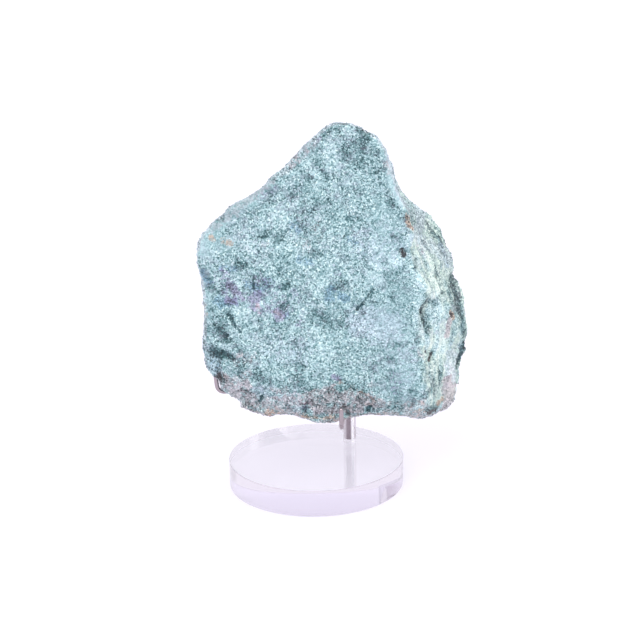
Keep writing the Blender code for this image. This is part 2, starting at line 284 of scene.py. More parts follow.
@dataclass(frozen=True)
class FuchsiteFinish(Finish):
    """Chrome mica schist: a mosaic of teal to silvery grains with stains in it.

    Attributes:
        stops: The mica's colours, from its darkest grains to its lightest.
        edge_stops: The same where the layers are cut across.
        streaks: The size, detail, warp and squeeze of the fine layers cut across.
        layer_bands: The same of the broad ones.
        calm: How much of the grains' contrast rubbing takes away.
        calm_shade: How light a grain is where it has all gone.
        tints: Each stain's colour, its strength and how speckled it is.
    """

    fine_grain_mm: float = 0.62
    speck_mm: float = 1.4
    hue_mm: float = 2.1
    hue_zone_mm: float = 17.0
    patch_mm: float = 11.0
    zone_mm: float = 34.0
    clot_mm: float = 2.2
    fleck_mm: float = 5.0
    streaks: tuple[float, float, float, Point] = (1.9, 2.5, 0.3, (0.16, 1.0, 0.10))
    layer_bands: tuple[float, float, float, Point] = (7.0, 1.5, 0.5, (0.35, 1.0, 0.22))
    calm: float = 0.6
    calm_shade: float = 0.49
    stops: Stops = (
        (0.0, srgb(4, 58, 62)),
        (0.22, srgb(71, 114, 117)),
        (0.45, srgb(133, 168, 171)),
        (0.70, srgb(179, 212, 215)),
        (1.0, srgb(229, 252, 248)),
    )
    edge_stops: Stops = (
        (0.0, srgb(54, 78, 80)),
        (0.3, srgb(134, 160, 157)),
        (0.6, srgb(191, 214, 206)),
        (1.0, srgb(235, 249, 236)),
    )
    greens: Colour = srgb(104, 160, 164)
    greys: Colour = srgb(182, 186, 204)
    edge_greys: Colour = srgb(192, 197, 207)
    tints: tuple[tuple[Tint, Colour, float, float], ...] = (
        (Tint.SILVER, srgb(180, 192, 208), 0.35, 0.8),
        (Tint.RIM, srgb(200, 200, 208), 0.42, 0.8),
        (Tint.BLUE, srgb(90, 140, 168), 0.55, 1.0),
        (Tint.PURPLE, srgb(136, 124, 162), 0.64, 0.6),
        (Tint.PINK, srgb(182, 166, 169), 0.62, 0.4),
        (Tint.RUST, srgb(198, 168, 144), 0.72, 0.45),
        (Tint.DEEP, srgb(6, 76, 84), 0.87, 0.85),
        (Tint.BLACK, srgb(60, 50, 52), 0.92, 0.6),
    )

    def colour(self, board: Board, shade: Socket) -> Socket:
        """The colour of the surface.

        Args:
            board: The material's board.
            shade: How light each grain or flake is, from 0 to 1.

        Returns:
            The colour, with the zones, cut layers, stains, painted shade and painted highlights in
            it.
        """
        worn, dark, pale, edge = (
            board.attribute(tint.value) for tint in (Tint.WORN, Tint.DARK, Tint.PALE, Tint.EDGE)
        )
        # Rubbing draws every grain towards one shade, and the dark mica and painted shade gather in
        # clots.
        calm = board.times(worn, self.calm)
        rubbed = board.times(shade, calm)
        shade = board.weighted((shade, 1.0), (rubbed, -1.0), (calm, self.calm_shade))
        dark = board.times(dark, board.weighted((board.cloud(self.clot_mm), 2.2), base=-0.1))
        patch, zone = board.cloud(self.patch_mm, 3.0, 0.6), board.cloud(self.zone_mm)
        level = board.weighted(
            (shade, 0.98), (patch, 0.30), (zone, 0.15), (dark, -0.33), (pale, 0.17), base=-0.165
        )
        # Some grains and zones are greener and others greyer.
        hue, hue_zone = board.grain(self.hue_mm, "Red"), board.cloud(self.hue_zone_mm)
        cast = board.weighted((hue, 0.5), (hue_zone, 1.0))
        green = board.math("MULTIPLY_ADD", cast, 2.0, -1.55, clamp=True)
        grey = board.math("MULTIPLY_ADD", cast, -2.0, 1.45, clamp=True)
        mica = board.ramp(board.math("MAXIMUM", level, 0.0), self.stops)
        mica = board.mix(board.times(green, 0.30), mica, self.greens)
        mica = board.mix(board.times(grey, 0.42), mica, self.greys)
        # Where the layers are cut across, they show as streaks in bands.
        streaks, bands = board.cloud(*self.streaks), board.cloud(*self.layer_bands)
        layers = board.weighted(
            (streaks, 0.7), (bands, 0.66), (shade, 0.85), (dark, -0.50), (pale, 0.20), base=-0.485
        )
        cut = board.ramp(board.math("MAXIMUM", layers, 0.0), self.edge_stops)
        cut = board.mix(board.times(grey, 0.40), cut, self.edge_greys)
        colour = board.mix(edge, mica, cut)
        lightness = board.weighted((shade, 1.5), (dark, -0.40), (pale, 0.15), base=0.22)
        # A stain takes the grains one by one, as its share outgrows what they resist.
        speck, fleck = board.grain(self.speck_mm, "Blue"), board.cloud(self.fleck_mm)
        for tint, stain, strength, speckled in self.tints:
            resists = board.weighted((speck, speckled), (fleck, 0.7), base=0.1 - 0.5 * speckled)
            lit = {0: stain, "Scale": lightness}
            shaded = board.add("ShaderNodeVectorMath", lit, operation="SCALE").outputs[0]
            reach = board.weighted((board.attribute(tint.value), 1.15), (resists, -1.0))
            share = board.times(board.math("MULTIPLY", reach, 2.0, clamp=True), strength)
            colour = board.mix(share, colour, shaded)
        return colour


@dataclass(frozen=True)
class RockFinish(FuchsiteFinish):
    """The stone's body between its loose flakes."""

    name: str = "fuchsite_rock"
    grain_mm: float = 1.0
    pit_mm: float = 0.55
    pit_depth_mm: float = 0.35
    roughness: float = 0.62
    ior: float = 1.58

    def paint(self, board: Board) -> None:
        """Wires a mosaic of grains of two sizes, with fine pits."""
        coarse, fine = board.grain(self.grain_mm, "Red"), board.grain(self.fine_grain_mm, "Green")
        shade = board.weighted((coarse, 0.65), (fine, 0.35))
        board.surface({
            "Base Color": self.colour(board, shade),
            "Roughness": board.weighted((shade, -0.25), base=self.roughness),
            "Normal": board.bumped(board.cloud(self.pit_mm), self.pit_depth_mm),
            "IOR": self.ior,
        })


@dataclass(frozen=True)
class FlakeFinish(FuchsiteFinish):
    """Loose mica flakes, each with its own lightness and a pearly gloss."""

    name: str = "mica_flakes"
    roughness: float = 0.42
    ior: float = 1.6

    def paint(self, board: Board) -> None:
        """Wires the flakes' own shades, with a little of the grain in them."""
        own = board.attribute(MicaFlakes.SHADE)
        shade = board.weighted((own, 0.85), (board.grain(self.fine_grain_mm, "Green"), 0.15))
        board.surface({
            "Base Color": self.colour(board, shade),
            "Roughness": board.weighted((own, -0.22), base=self.roughness),
            "IOR": self.ior,
        })


@dataclass(frozen=True)
class AcrylicFinish(Finish):
    """Polished clear acrylic with a faint lavender cast in its thickness."""

    name: str = "polished_acrylic"
    cast: Colour = (0.37, 0.22, 0.52)
    density: float = 2.1
    ior: float = 1.49
    smear_mm: float = 14.0
    smear_roughness: float = 0.012

    def paint(self, board: Board) -> None:
        """Wires its faint smears and its cast."""
        cast = {"Color": (*self.cast, 1.0), "Density": self.density}
        body = board.add("ShaderNodeVolumeAbsorption", cast).outputs[0]
        smear = board.cloud(self.smear_mm)
        self.clear(board, board.times(smear, self.smear_roughness), Volume=body)

    def clear(self, board: Board, roughness: Socket, **filling: Socket) -> None:
        """Wires a clear shader of a roughness, with what fills the piece if any does."""
        clear = {"Base Color": (1.0,) * 4, "Transmission Weight": 1.0, "IOR": self.ior}
        board.surface({**clear, "Roughness": roughness}, **filling)


@dataclass(frozen=True)
class DrilledAcrylicFinish(AcrylicFinish):
    """The wall of a reamed hole in clear acrylic, not quite as clear as the outside."""

    name: str = "drilled_acrylic"
    ring_mm: float = 3.0
    ring_squeeze: Point = (1, 1, 9)
    ring_roughness: float = 0.08
    roughness: float = 0.02

    def paint(self, board: Board) -> None:
        """Wires the reamer's faint rings."""
        rings = board.cloud(self.ring_mm, 3.0, squeeze=self.ring_squeeze)
        self.clear(board, board.weighted((rings, self.ring_roughness), base=self.roughness))


@dataclass(frozen=True)
class SteelFinish(Finish):
    """Polished steel with a faint warm tone and fine draw marks."""

    name: str = "bright_steel"
    colour: Colour = srgb(178, 167, 170)
    roughness: float = 0.10
    draw_mm: float = 2.2
    draw_squeeze: Point = (9.0, 9.0, 0.6)
    draw_depth_mm: float = 0.012
    smudge_mm: float = 6.0
    dulled: float = 0.82

    def paint(self, board: Board) -> None:
        """Wires the draw marks and the dulling of handling."""
        draw = board.cloud(self.draw_mm, 3.0, squeeze=self.draw_squeeze)
        smudge = board.cloud(self.smudge_mm)
        board.surface({
            "Base Color": self.tone(board, smudge),
            "Roughness": board.weighted((draw, 0.12), (smudge, 0.14), base=self.roughness),
            "Metallic": 1.0,
            "Normal": board.bumped(draw, self.draw_depth_mm),
        })

    def tone(self, board: Board, smudge: Socket) -> Socket:
        """The steel's colour, a little darker where handling has dulled it."""
        dull = tuple(self.dulled * level for level in self.colour)
        return board.ramp(smudge, ((0.3, self.colour), (0.8, dull)))


@dataclass(frozen=True)
class PostReflectionBandsFinish(SteelFinish):
    """The post's steel, with painted reflections in lighter and darker bands along its length.

    Attributes:
        axis: The middle of the post, in metres.
        sunk: The height below which it stands in the disc's hole, in metres.
        painted_hole_reflection: The near-white colour painted on its sunk end, a painted reflection
            of the hole wall.
        painted_hole_reflection_share: How far that covers the steel.
        painted_hole_reflection_edge: How sharply that painted reflection starts, as its share for
            each metre.
        warmth: How well each channel keeps its light in the dark painted reflection bands.
        bands: Each painted reflection band's place round the post, where 0.5 faces front, and its
            lightness.
    """

    name: str = "post_steel_painted_reflections"
    roughness: float = 0.04
    axis: Point = (0.0, 0.0, 0.0)
    sunk: float = 0.0
    painted_hole_reflection: Colour = (0.96, 0.93, 0.97)
    painted_hole_reflection_share: float = 0.9
    painted_hole_reflection_edge: float = 2000.0
    warmth: Colour = (1.0, 0.93, 0.965)
    bands: tuple[tuple[float, float], ...] = (
        (0.0, 0.62), (0.07, 0.36), (0.14, 0.40), (0.18, 0.95), (0.25, 0.74),
        (0.375, 0.70), (0.43, 0.345), (0.515, 0.325), (0.55, 1.0), (0.60, 1.0),
        (0.625, 0.70), (0.70, 0.66), (0.78, 0.42), (0.87, 0.85), (1.0, 0.62),
    )

    def tone(self, board: Board, smudge: Socket) -> Socket:
        """The steel's colour, in bands of painted reflection.

        Args:
            board: The material's board.
            smudge: How much handling has dulled each spot.

        Returns:
            The colour, with a near-white painted reflection over the sunk end.
        """
        from_axis = {0: board.place, 1: self.axis}
        offset = board.add("ShaderNodeVectorMath", from_axis, operation="SUBTRACT").outputs[0]
        across, along, up = board.add("ShaderNodeSeparateXYZ", {0: offset}).outputs
        turn = board.math("ARCTAN2", across, board.times(along, -1.0))
        round_post = board.weighted((turn, 1 / math.tau), (smudge, 0.02), base=0.49)
        # The bands are painted reflections: a ramp of lighter and darker steel colour fixed round
        # the post.
        stops = tuple(
            (turned, tuple(light ** (1 + 2 * (1 - warm)) for warm in self.warmth))
            for turned, light in self.bands
        )
        # Below the disc's top, the post is painted near-white: a painted reflection of the bright
        # hole wall.
        painted_hole_reflection_top = self.painted_hole_reflection_edge * (self.sunk - self.axis[2])
        sunk = board.math("MULTIPLY_ADD", up, -self.painted_hole_reflection_edge, painted_hole_reflection_top, clamp=True)
        steel, share = board.ramp(round_post, stops), board.times(sunk, self.painted_hole_reflection_share)
        return board.mix(share, steel, self.painted_hole_reflection)


@dataclass(frozen=True)
class PaperFloorFinish(Finish):
    """Matt white studio paper on a softly lit table."""

    name: str = "white_paper"
    glow: float = 0.70
    paper: Colour = (0.31, 0.30, 0.33)
    light: Colour = (0.965, 0.94, 1.05)
    fibre_mm: float = 90.0
    fibre_tone: float = 0.96

    def paint(self, board: Board) -> None:
        """Wires the paper's faint fibres and its glow."""
        fibre = tuple(self.fibre_tone * level for level in self.paper)
        board.surface({
            "Base Color": board.ramp(board.cloud(self.fibre_mm), ((0.0, fibre), (1.0, self.paper))),
            "Roughness": 0.9,
            "Emission Color": (*self.light, 1.0),
            "Emission Strength": self.glow,
        })


# --- mesh tools --------------------------------------------------------------------------
def shown(name: str, mesh: Mesh, *materials: Material) -> Object:
    """Puts a mesh in the scene.

    Args:
        name: The object's name.
        mesh: Its mesh, already in place.
        *materials: Its materials, which take the place of any it has.

    Returns:
        The object.
    """
    if materials:
        mesh.materials.clear()
        for material in materials:
            mesh.materials.append(material)
    piece = bpy.data.objects.new(name, mesh)
    bpy.context.scene.collection.objects.link(piece)
    return piece


def baked(piece: Object) -> Mesh:
    """Applies an object's modifiers, and removes the object.

    Args:
        piece: The object.

    Returns:
        Its finished mesh, with its name.
    """
    bpy.context.view_layer.update()
    graph = bpy.context.evaluated_depsgraph_get()
    mesh = bpy.data.meshes.new_from_object(piece.evaluated_get(graph))
    mesh.name = piece.name
    bpy.data.objects.remove(piece)
    return mesh


def merged_form(node: str) -> BMesh:
    """Reads a CAD node's mesh, and merges its loose triangles.

    Args:
        node: The node's name.

    Returns:
        The mesh, as a form to work on.
    """
    form = bmesh.new()
    form.from_mesh(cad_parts[node].data)
    bmesh.ops.remove_doubles(form, verts=form.verts, dist=0.01 * MM)
    return form


def to_mesh(form: BMesh, name: str) -> Mesh:
    """Frees a form and makes a mesh of it.

    Args:
        form: The form.
        name: The mesh's name.

    Returns:
        The mesh.
    """
    mesh = bpy.data.meshes.new(name)
    form.to_mesh(mesh)
    form.free()
    return mesh


def smoothed(mesh: Mesh) -> Mesh:
    """The mesh, made smooth except at its sharp edges."""
    mesh.shade_smooth()
    mesh.set_sharp_from_angle(angle=SHARP_EDGE)
    return mesh


def read_vectors(items: bpy.types.bpy_prop_collection, key: str) -> np.ndarray:
    """Reads one vector for each of a mesh's items.

    Args:
        items: The mesh's points or normals.
        key: What their vector is called.

    Returns:
        The vectors, one to a row.
    """
    values = np.empty(len(items) * 3, np.float32)
    items.foreach_get(key, values)
    return values.reshape(-1, 3).astype(float)


def read_points(mesh: Mesh) -> np.ndarray:
    """The mesh's points, in metres."""
    return read_vectors(mesh.vertices, "co")


def read_normals(mesh: Mesh) -> np.ndarray:
    """The mesh's normals at its points."""
    return read_vectors(mesh.vertex_normals, "vector")


def write_points(mesh: Mesh, points: np.ndarray) -> None:
    """Moves the mesh's points to these, in metres."""
    mesh.vertices.foreach_set("co", points.astype(np.float32).ravel())
    mesh.update()


def write_layer(mesh: Mesh, name: str, values: np.ndarray) -> None:
    """Gives each of the mesh's points a value under a name."""
    layer = mesh.attributes.new(name, "FLOAT", "POINT")
    layer.data.foreach_set("value", values.astype(np.float32))


def inside_cad_box(points: np.ndarray) -> np.ndarray:
    """The points, with any outside the CAD model's box brought back to it."""
    low, high = (np.array(corner) for corner in CAD_BOX)
    return np.clip(points, low, high)


def round_measures(node: str) -> tuple[Vector, Vector, Vector, float]:
    """The box of an upright round CAD node: its low and high corners, middle and radius."""
    low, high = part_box(node)
    return low, high, (low + high) / 2, (high.x - low.x) / 2


def lathe(profile: list[Point], sides: int, start: Vector, axis: Vector = UP) -> BMesh:
    """Turns a profile about an axis.

    Args:
        profile: (distance from the axis, distance along it), from one end to the other.
        sides: How many sides the turned form has.
        start: Where the axis starts.
        axis: The way that it points.

    Returns:
        The closed form, with its faces outwards.
    """
    form = bmesh.new()
    ring = [form.verts.new((radius, 0.0, along)) for radius, along in profile]
    edges = [form.edges.new(pair) for pair in zip(ring, ring[1:])]
    bmesh.ops.spin(
        form, geom=ring + edges, cent=(0, 0, 0), axis=UP, angle=math.tau, steps=sides
    )
    bmesh.ops.remove_doubles(form, verts=form.verts, dist=0.001 * MM)
    bmesh.ops.recalc_face_normals(form, faces=form.faces)
    turn = axis.to_track_quat("Z", "Y").to_matrix().to_4x4()
    bmesh.ops.transform(form, matrix=Matrix.Translation(start) @ turn, verts=form.verts)
    return form


def rounded_profile(radius: float, height: float, low_edge: float, high_edge: float) -> list[Point]:
    """The profile of a cylinder with rounded edges.

    A hair beyond each rounding there is one more point, so that the smooth normals of the
    rounding don't run out over the flat or the wall.

    Args:
        radius: The cylinder's radius.
        height: Its height.
        low_edge: The radius of its lower edge.
        high_edge: The radius of its upper edge.

    Returns:
        The profile, from the centre of the lower end to that of the upper.
    """
    steps, hair = 6, 0.04 * MM
    turns = [math.pi / 2 * step / steps for step in range(steps + 1)]
    over = [(1 - math.sin(turn), 1 - math.cos(turn)) for turn in turns]
    low_wall, high_wall = low_edge + hair, height - high_edge - hair
    return [
        (0.0, 0.0),
        (radius - low_wall, 0.0),
        *((radius - low_edge * inward, low_edge * upward) for inward, upward in over),
        (radius, low_wall),
        (radius, high_wall),
        *((radius - high_edge * inward, height - high_edge * down) for down, inward in over),
        (radius - high_edge - hair, height),
        (0.0, height),
    ]


def fade(distance: np.ndarray, width: float) -> np.ndarray:
    """From 0 where the distance is 0 or less to 1 where it reaches the width."""
    return np.clip(distance / width, 0.0, 1.0)


# --- the stone ---------------------------------------------------------------------------
@dataclass(frozen=True)
class Mark:
    """A spot or streak of the stone.

    Attributes:
        tint: What it is made of.
        path: Its places in millimetres, (x, z) as a viewer in front sees them against the
            plane of the flat face, or (x, y, z) for what only the back shows.
        radius: Its half width, in millimetres.
        strength: How strongly it shows, from 0 to 1.
        depth: How deep it is cut, in millimetres, and below 0 how far it stands out.
    """

    tint: Tint
    path: tuple[Point, ...]
    radius: float
    strength: float = 1.0
    depth: float = 0.0


def marks(*tinted: tuple[Tint | tuple[float | Point, ...], ...]) -> tuple[Mark, ...]:
    """The marks of a region.

    Args:
        *tinted: For each tint, the tint and then a row for each mark: its radius, its
            strength and depth where they aren't 1 and 0, and its places one by one.

    Returns:
        The marks.
    """
    return tuple(
        Mark(
            tint,
            tuple(item for item in row if isinstance(item, tuple)),
            *(item for item in row if not isinstance(item, tuple)),
        )
        for tint, *rows in tinted
        for row in rows
    )


PEAK_MARKS = marks(
    (Tint.WORN,
     (4.6, (-74, 179), (-73, 188), (-67, 195), (-58, 202), (-47, 210), (-36, 218), (-28, 225)),
     (3.4, 0.6, (-9, 241), (0, 250)), (11, 0.42, (48, 200), (52, 186), (50, 168), (58, 148)),
     (12, 0.55, (50, 134), (56, 116), (56, 96), (62, 76)),
     (3.2, (50, 243), (52, 236), (53, 229), (56, 219), (61, 210), (66, 204)),
     (3.4, 0.7, (-73, 168), (-71, 146), (-72, 136)), (5, 0.9, (-68, 189), (-57, 185)),
     (3.6, 0.35, (-62, 80), (-50, 68), (-36, 61), (-14, 61)),
     (5, 0.55, (99, 94), (99, 80), (95, 70), (88, 64))),
    (Tint.DARK, (3.6, 0.35, (44, 222)), (3.6, 0.35, (-15, 129)), (2.4, (36, 260), (37, 253)),
     (2.2, (35, 250), (35, 247)), (1.7, 0.8, (35, 246), (35, 238)),
     (2.6, 0.8, (25, 249), (23, 245)), (2.2, 0.9, (24, 243), (25, 241)),
     (2.2, 0.5, (36, 253), (30, 252), (26, 254)), (7, 0.24, (30, 245), (41, 238)),
     (2.2, 0.8, (44, 233), (48, 233)), (2, 0.7, (44, 244)), (2.2, 0.4, (36, 234), (31, 236)),
     (2, 0.8, (8, 233), (11, 227)), (1.6, 0.7, (10, 262), (24, 264)),
     (1.8, 0.7, (32, 262), (41, 256)),
     (4, 0.34, (-67, 199), (-47, 211), (-27, 227), (-9, 242), (1, 251), (8, 259), (19, 263)),
     (4, 0.5, (-19, 233)), (4, 0.4, (18, 262), (18, 254)), (2.4, 0.7, (53, 212), (56, 208)),
     (1.6, 0.6, (54, 231)), (2.4, 0.7, (0, 229), (-3, 228)), (3.5, 0.55, (-8, 222), (-14, 216)),
     (2.2, 0.8, (-14, 216), (-11, 215)), (2.2, 0.5, (-29, 221), (-24, 222), (-27, 213)),
     (2.4, 0.6, (-60, 202), (-55, 205)), (2.2, 0.4, (12, 213), (11, 208)), (4.6, 0.9, (-61, 203)),
     (2.2, 0.6, (3, 214), (3, 208))),
    (Tint.PALE, (3.6, 0.5, (-36, 152)), (3.6, 0.4, (-25, 223)), (3, 0.6, (44, 252), (47, 247)),
     (3.6, 0.5, (18, 211)), (4, 0.7, (13, 249), (14, 243), (17, 237)),
     (2.4, 0.6, (23, 259), (28, 257)), (2.4, 0.8, (52, 240), (53, 232), (55, 222), (59, 214)),
     (2.4, 0.8, (-3, 238), (2, 233), (5, 230))),
    (Tint.RIM, (3.4, 0.75, (-67, 195), (-47, 210), (-27, 226), (-9, 241), (3, 252))),
    (Tint.DEEP, (1.5, 0.5, (36, 258), (37, 254)), (1.5, 0.6, (1, 246))),
    (Tint.PURPLE, (2.2, 0.5, (6, 255), (9, 259)), (3, 0.45, (-33, 217), (-24, 221))),
    (Tint.PINK, (3.2, 0.5, (-2, 246), (-12, 238), (-8, 243)), (2.6, 0.6, (50, 237), (52, 231))),
)
FACE_MARKS = marks(
    (Tint.DARK, (2.6, 0.9, (-34, 189), (-30, 192)), (2.4, 0.6, (-20, 191), (-22, 187)),
     (2.8, 0.65, (-8, 201), (-5, 199)), (2.8, 0.75, (-6, 196), (-3, 192)),
     (2, 0.5, (-13, 206), (-1, 205)), (2.4, 0.25, (22, 213), (23, 208)),
     (2, 0.7, (25, 200), (31, 200)), (1.7, (23, 188)), (2.2, 0.3, (53, 197), (57, 195)),
     (3.6, 0.4, (-2, 210)), (3.6, 0.4, (4, 236)), (3.6, 0.55, (22, 133)), (4, 0.4, (-48, 125)),
     (4, 0.4, (0, 89)), (1.8, 0.6, (54, 188), (59, 186)), (2.4, 0.6, (0, 178), (4, 176)),
     (3, (-50, 169), (-48, 170)), (2, 0.6, (-40, 173), (-36, 177)),
     (2, 0.6, (-19, 174), (-17, 171)), (1.6, 0.7, (-60, 142), (-55, 141)), (1.5, 0.9, (-38, 130)),
     (7, 0.3, (-38, 157), (-26, 148), (-20, 140)), (2.2, 0.6, (-57, 155), (-53, 151)),
     (2.2, 0.6, (-57, 146), (-54, 144)), (2.8, (-21, 139), (-18, 142)),
     (3.6, 0.5, (-36, 157), (-30, 157)), (2.2, 0.8, 0.8, (-40, 160), (-39, 153)),
     (2.8, (-21, 153), (-17, 155)), (2, 0.7, (-22, 168), (-21, 164)),
     (2.2, 0.6, (-25, 129), (-25, 124)), (2, 0.3, (-39, 131), (-33, 116)),
     (4.4, 0.65, (2, 132), (9, 129), (14, 127)), (2.4, 0.6, (13, 128), (22, 126)),
     (2.6, 0.8, (14, 153), (22, 155)), (1.3, 0.8, 0.5, (31, 136), (35, 134)),
     (2, 0.7, (53, 147), (55, 144)), (2.2, 0.6, (55, 162), (60, 164)), (2, 0.6, (65, 162)),
     (2.2, 0.45, (49, 172), (49, 162)), (6, 0.2, (57, 156), (62, 148)),
     (1.8, 0.5, 0.5, (52, 111), (60, 110), (64, 112)), (2.2, 0.8, (51, 101), (54, 99)),
     (1.9, 0.45, (42, 97), (41, 92)), (2.2, 1, 0.4, (-9, 98), (-8, 96)),
     (2.2, 0.4, (-6, 110), (-13, 114))),
    (Tint.BLUE, (3.4, 0.7, (-12, 197), (-8, 194)), (2.6, 0.55, (26, 186), (30, 184)),
     (2.2, 0.8, (-62, 168), (-52, 167)), (3, 0.75, (-9, 173), (-2, 171)),
     (3, 0.8, (-63, 142), (-52, 145)), (3.4, 0.8, (-44, 156), (-36, 152), (-30, 158)),
     (3.4, (-65, 145), (-61, 144)), (2.4, 0.8, (-18, 133)), (3.4, (12, 150), (11, 145)),
     (3.2, (19, 147), (22, 145))),
    (Tint.PALE, (5, (40, 157), (45, 164)), (4, 0.7, (59, 145)), (4, 0.6, (19, 146)),
     (4, 0.6, (9, 160), (2, 150)), (4, 0.6, (61, 104)), (4, 0.6, (-25, 145), (-23, 155)),
     (4, 0.6, (55, 197)), (3.6, 0.7, (42, 185), (43, 180)), (5, (54, 173), (56, 171)),
     (2.8, 0.8, (48, 178), (48, 173)), (4.2, 0.7, (-20, 203), (-19, 199)), (4.8, 0.5, (-28, 200)),
     (2.4, 0.7, (-42, 184), (-42, 179), (-38, 176)), (3.4, 0.3, (-73, 180), (-73, 177)),
     (3, 0.6, (-65, 181)), (4.5, 0.4, (-14, 182)), (2.6, 0.9, (-38, 139), (-35, 144)),
     (4.4, 0.5, (-51, 139), (-48, 137)), (3.8, 0.4, (-48, 124), (-47, 119)),
     (6, 0.35, (30, 128), (52, 124)), (9, 0.35, (4, 112), (2, 98))),
    (Tint.PINK, (3.4, 0.45, (3, 196), (5, 188)), (3.4, 0.4, (-31, 183), (-28, 180)),
     (3, 0.45, (-6, 186), (-3, 183)), (3.4, 0.4, (24, 207), (31, 204)),
     (1.7, 0.6, (-26, 137), (-22, 133)), (2, 0.7, (-38, 141), (-37, 137))),
    (Tint.RUST, (2, 0.75, (-68, 190), (-66, 187)), (2.6, 0.66, (-60, 187), (-55, 185))),
    (Tint.PURPLE, (6.5, 0.5, (-60, 160), (-55, 147)), (2.6, 0.7, (-61, 167), (-57, 161)),
     (2.2, 0.8, (-53, 154), (-48, 146)), (7.5, 0.45, (-38, 157), (-28, 150), (-20, 140)),
     (6, 0.45, (-44, 147), (-34, 140)), (2.6, (-57, 156), (-53, 152)),
     (2.8, (-58, 145), (-54, 145)), (4.2, 0.85, (-41, 146), (-36, 147)),
     (3.2, 0.8, (-39, 139), (-36, 138)), (4.2, 0.85, (-25, 136), (-23, 133)),
     (2.6, 0.6, (-9, 131), (-9, 127)), (3.6, 0.5, (-14, 150), (-11, 145)),
     (4, 0.55, (-36, 158), (-30, 157)), (2.8, 0.25, (-58, 164), (-36, 165)),
     (2.6, 0.5, (16, 167), (17, 163))),
    (Tint.DEEP, (0.9, 0.9, 0.6, (-40, 161), (-40, 153)), (1.5, 1, 1.7, (30, 137), (34, 141)),
     (0.8, 0.7, 0.9, (34, 141), (38, 147)), (1.2, 1, 1.2, (38, 147), (41, 151)),
     (0.9, 0.6, 0.5, (39, 142), (43, 142), (49, 141))),
    (Tint.BLACK, (0.8, 0.2, 0.4, (30, 137), (33, 140))),
    (Tint.SILVER, (13, 0.9, (34, 128), (50, 124)), (12, 0.6, (36, 180), (56, 178)),
     (12, 0.6, (-26, 110), (-12, 106)), (10, 0.6, (64, 100), (62, 84))),
)
# Cut into the lower-left hollows, the dark and deep-green marks paint shade in them; the pale mark
# standing out on the ridge between them paints a highlight; the dark and deep-green ones at
# (-69..-68, 82-86) paint the left wire's shadow.
LEFT_MARKS = marks(
    (Tint.BLUE, (2.8, 0.8, (-75, 165), (-71, 158)), (3.2, 0.35, (-73, 98), (-71, 91))),
    (Tint.DARK, (2.6, 0.8, (-74, 165), (-71, 162)), (2.6, 0.9, (-70, 155), (-68, 154)),
     (2.4, 0.6, (-66, 151), (-60, 152)), (2.4, 0.7, (-70, 139), (-68, 138)),
     (3.4, 0.5, (-68, 132), (-57, 134)), (3.2, 1, 0.9, (-67, 127), (-62, 126)),
     (4, 0.85, 1.7, (-66, 121), (-60, 118)), (4.6, 0.85, 2, (-71, 110), (-66, 104)),
     (3, 1, 1.2, (-64, 107), (-57, 104)), (3, 1, 0.8, (-66, 104), (-66, 97)),
     (4.4, 0.5, (-72, 104), (-72, 101)), (5, (-68, 85)),
     (3.8, 0.5, (-58, 112), (-58, 102), (-48, 102)), (3.4, 0.6, (-75, 115), (-74, 130)),
     (4.6, (-61, 117)), (3, 0.5, (-52, 112), (-50, 109))),
    (Tint.DEEP, (1.3, 1, 0.8, (-58, 135), (-55, 131), (-54, 127)),
     (1, 0.9, 0.6, (-54, 127), (-50, 122)), (2.6, 0.85, (-64, 124), (-60, 119)),
     (2.8, 0.9, (-71, 109), (-67, 105)), (2.2, 0.9, (-64, 107), (-57, 104)),
     (2.4, 0.6, (-69, 86), (-68, 82))),
    (Tint.PALE, (1.9, 0.45, -0.8, (-70, 117), (-63, 113), (-57, 109)), (3.6, 0.6, (-53, 91))),
    (Tint.SILVER, (4, (-73, 98), (-71, 91)), (5, 1, -1.2, (-76, 107), (-74, 97))),
    (Tint.PINK, (1.9, 0.7, (-53, 105), (-50, 106))),
    (Tint.RUST, (2, 0.5, (-76, 141), (-76, 134))),
)
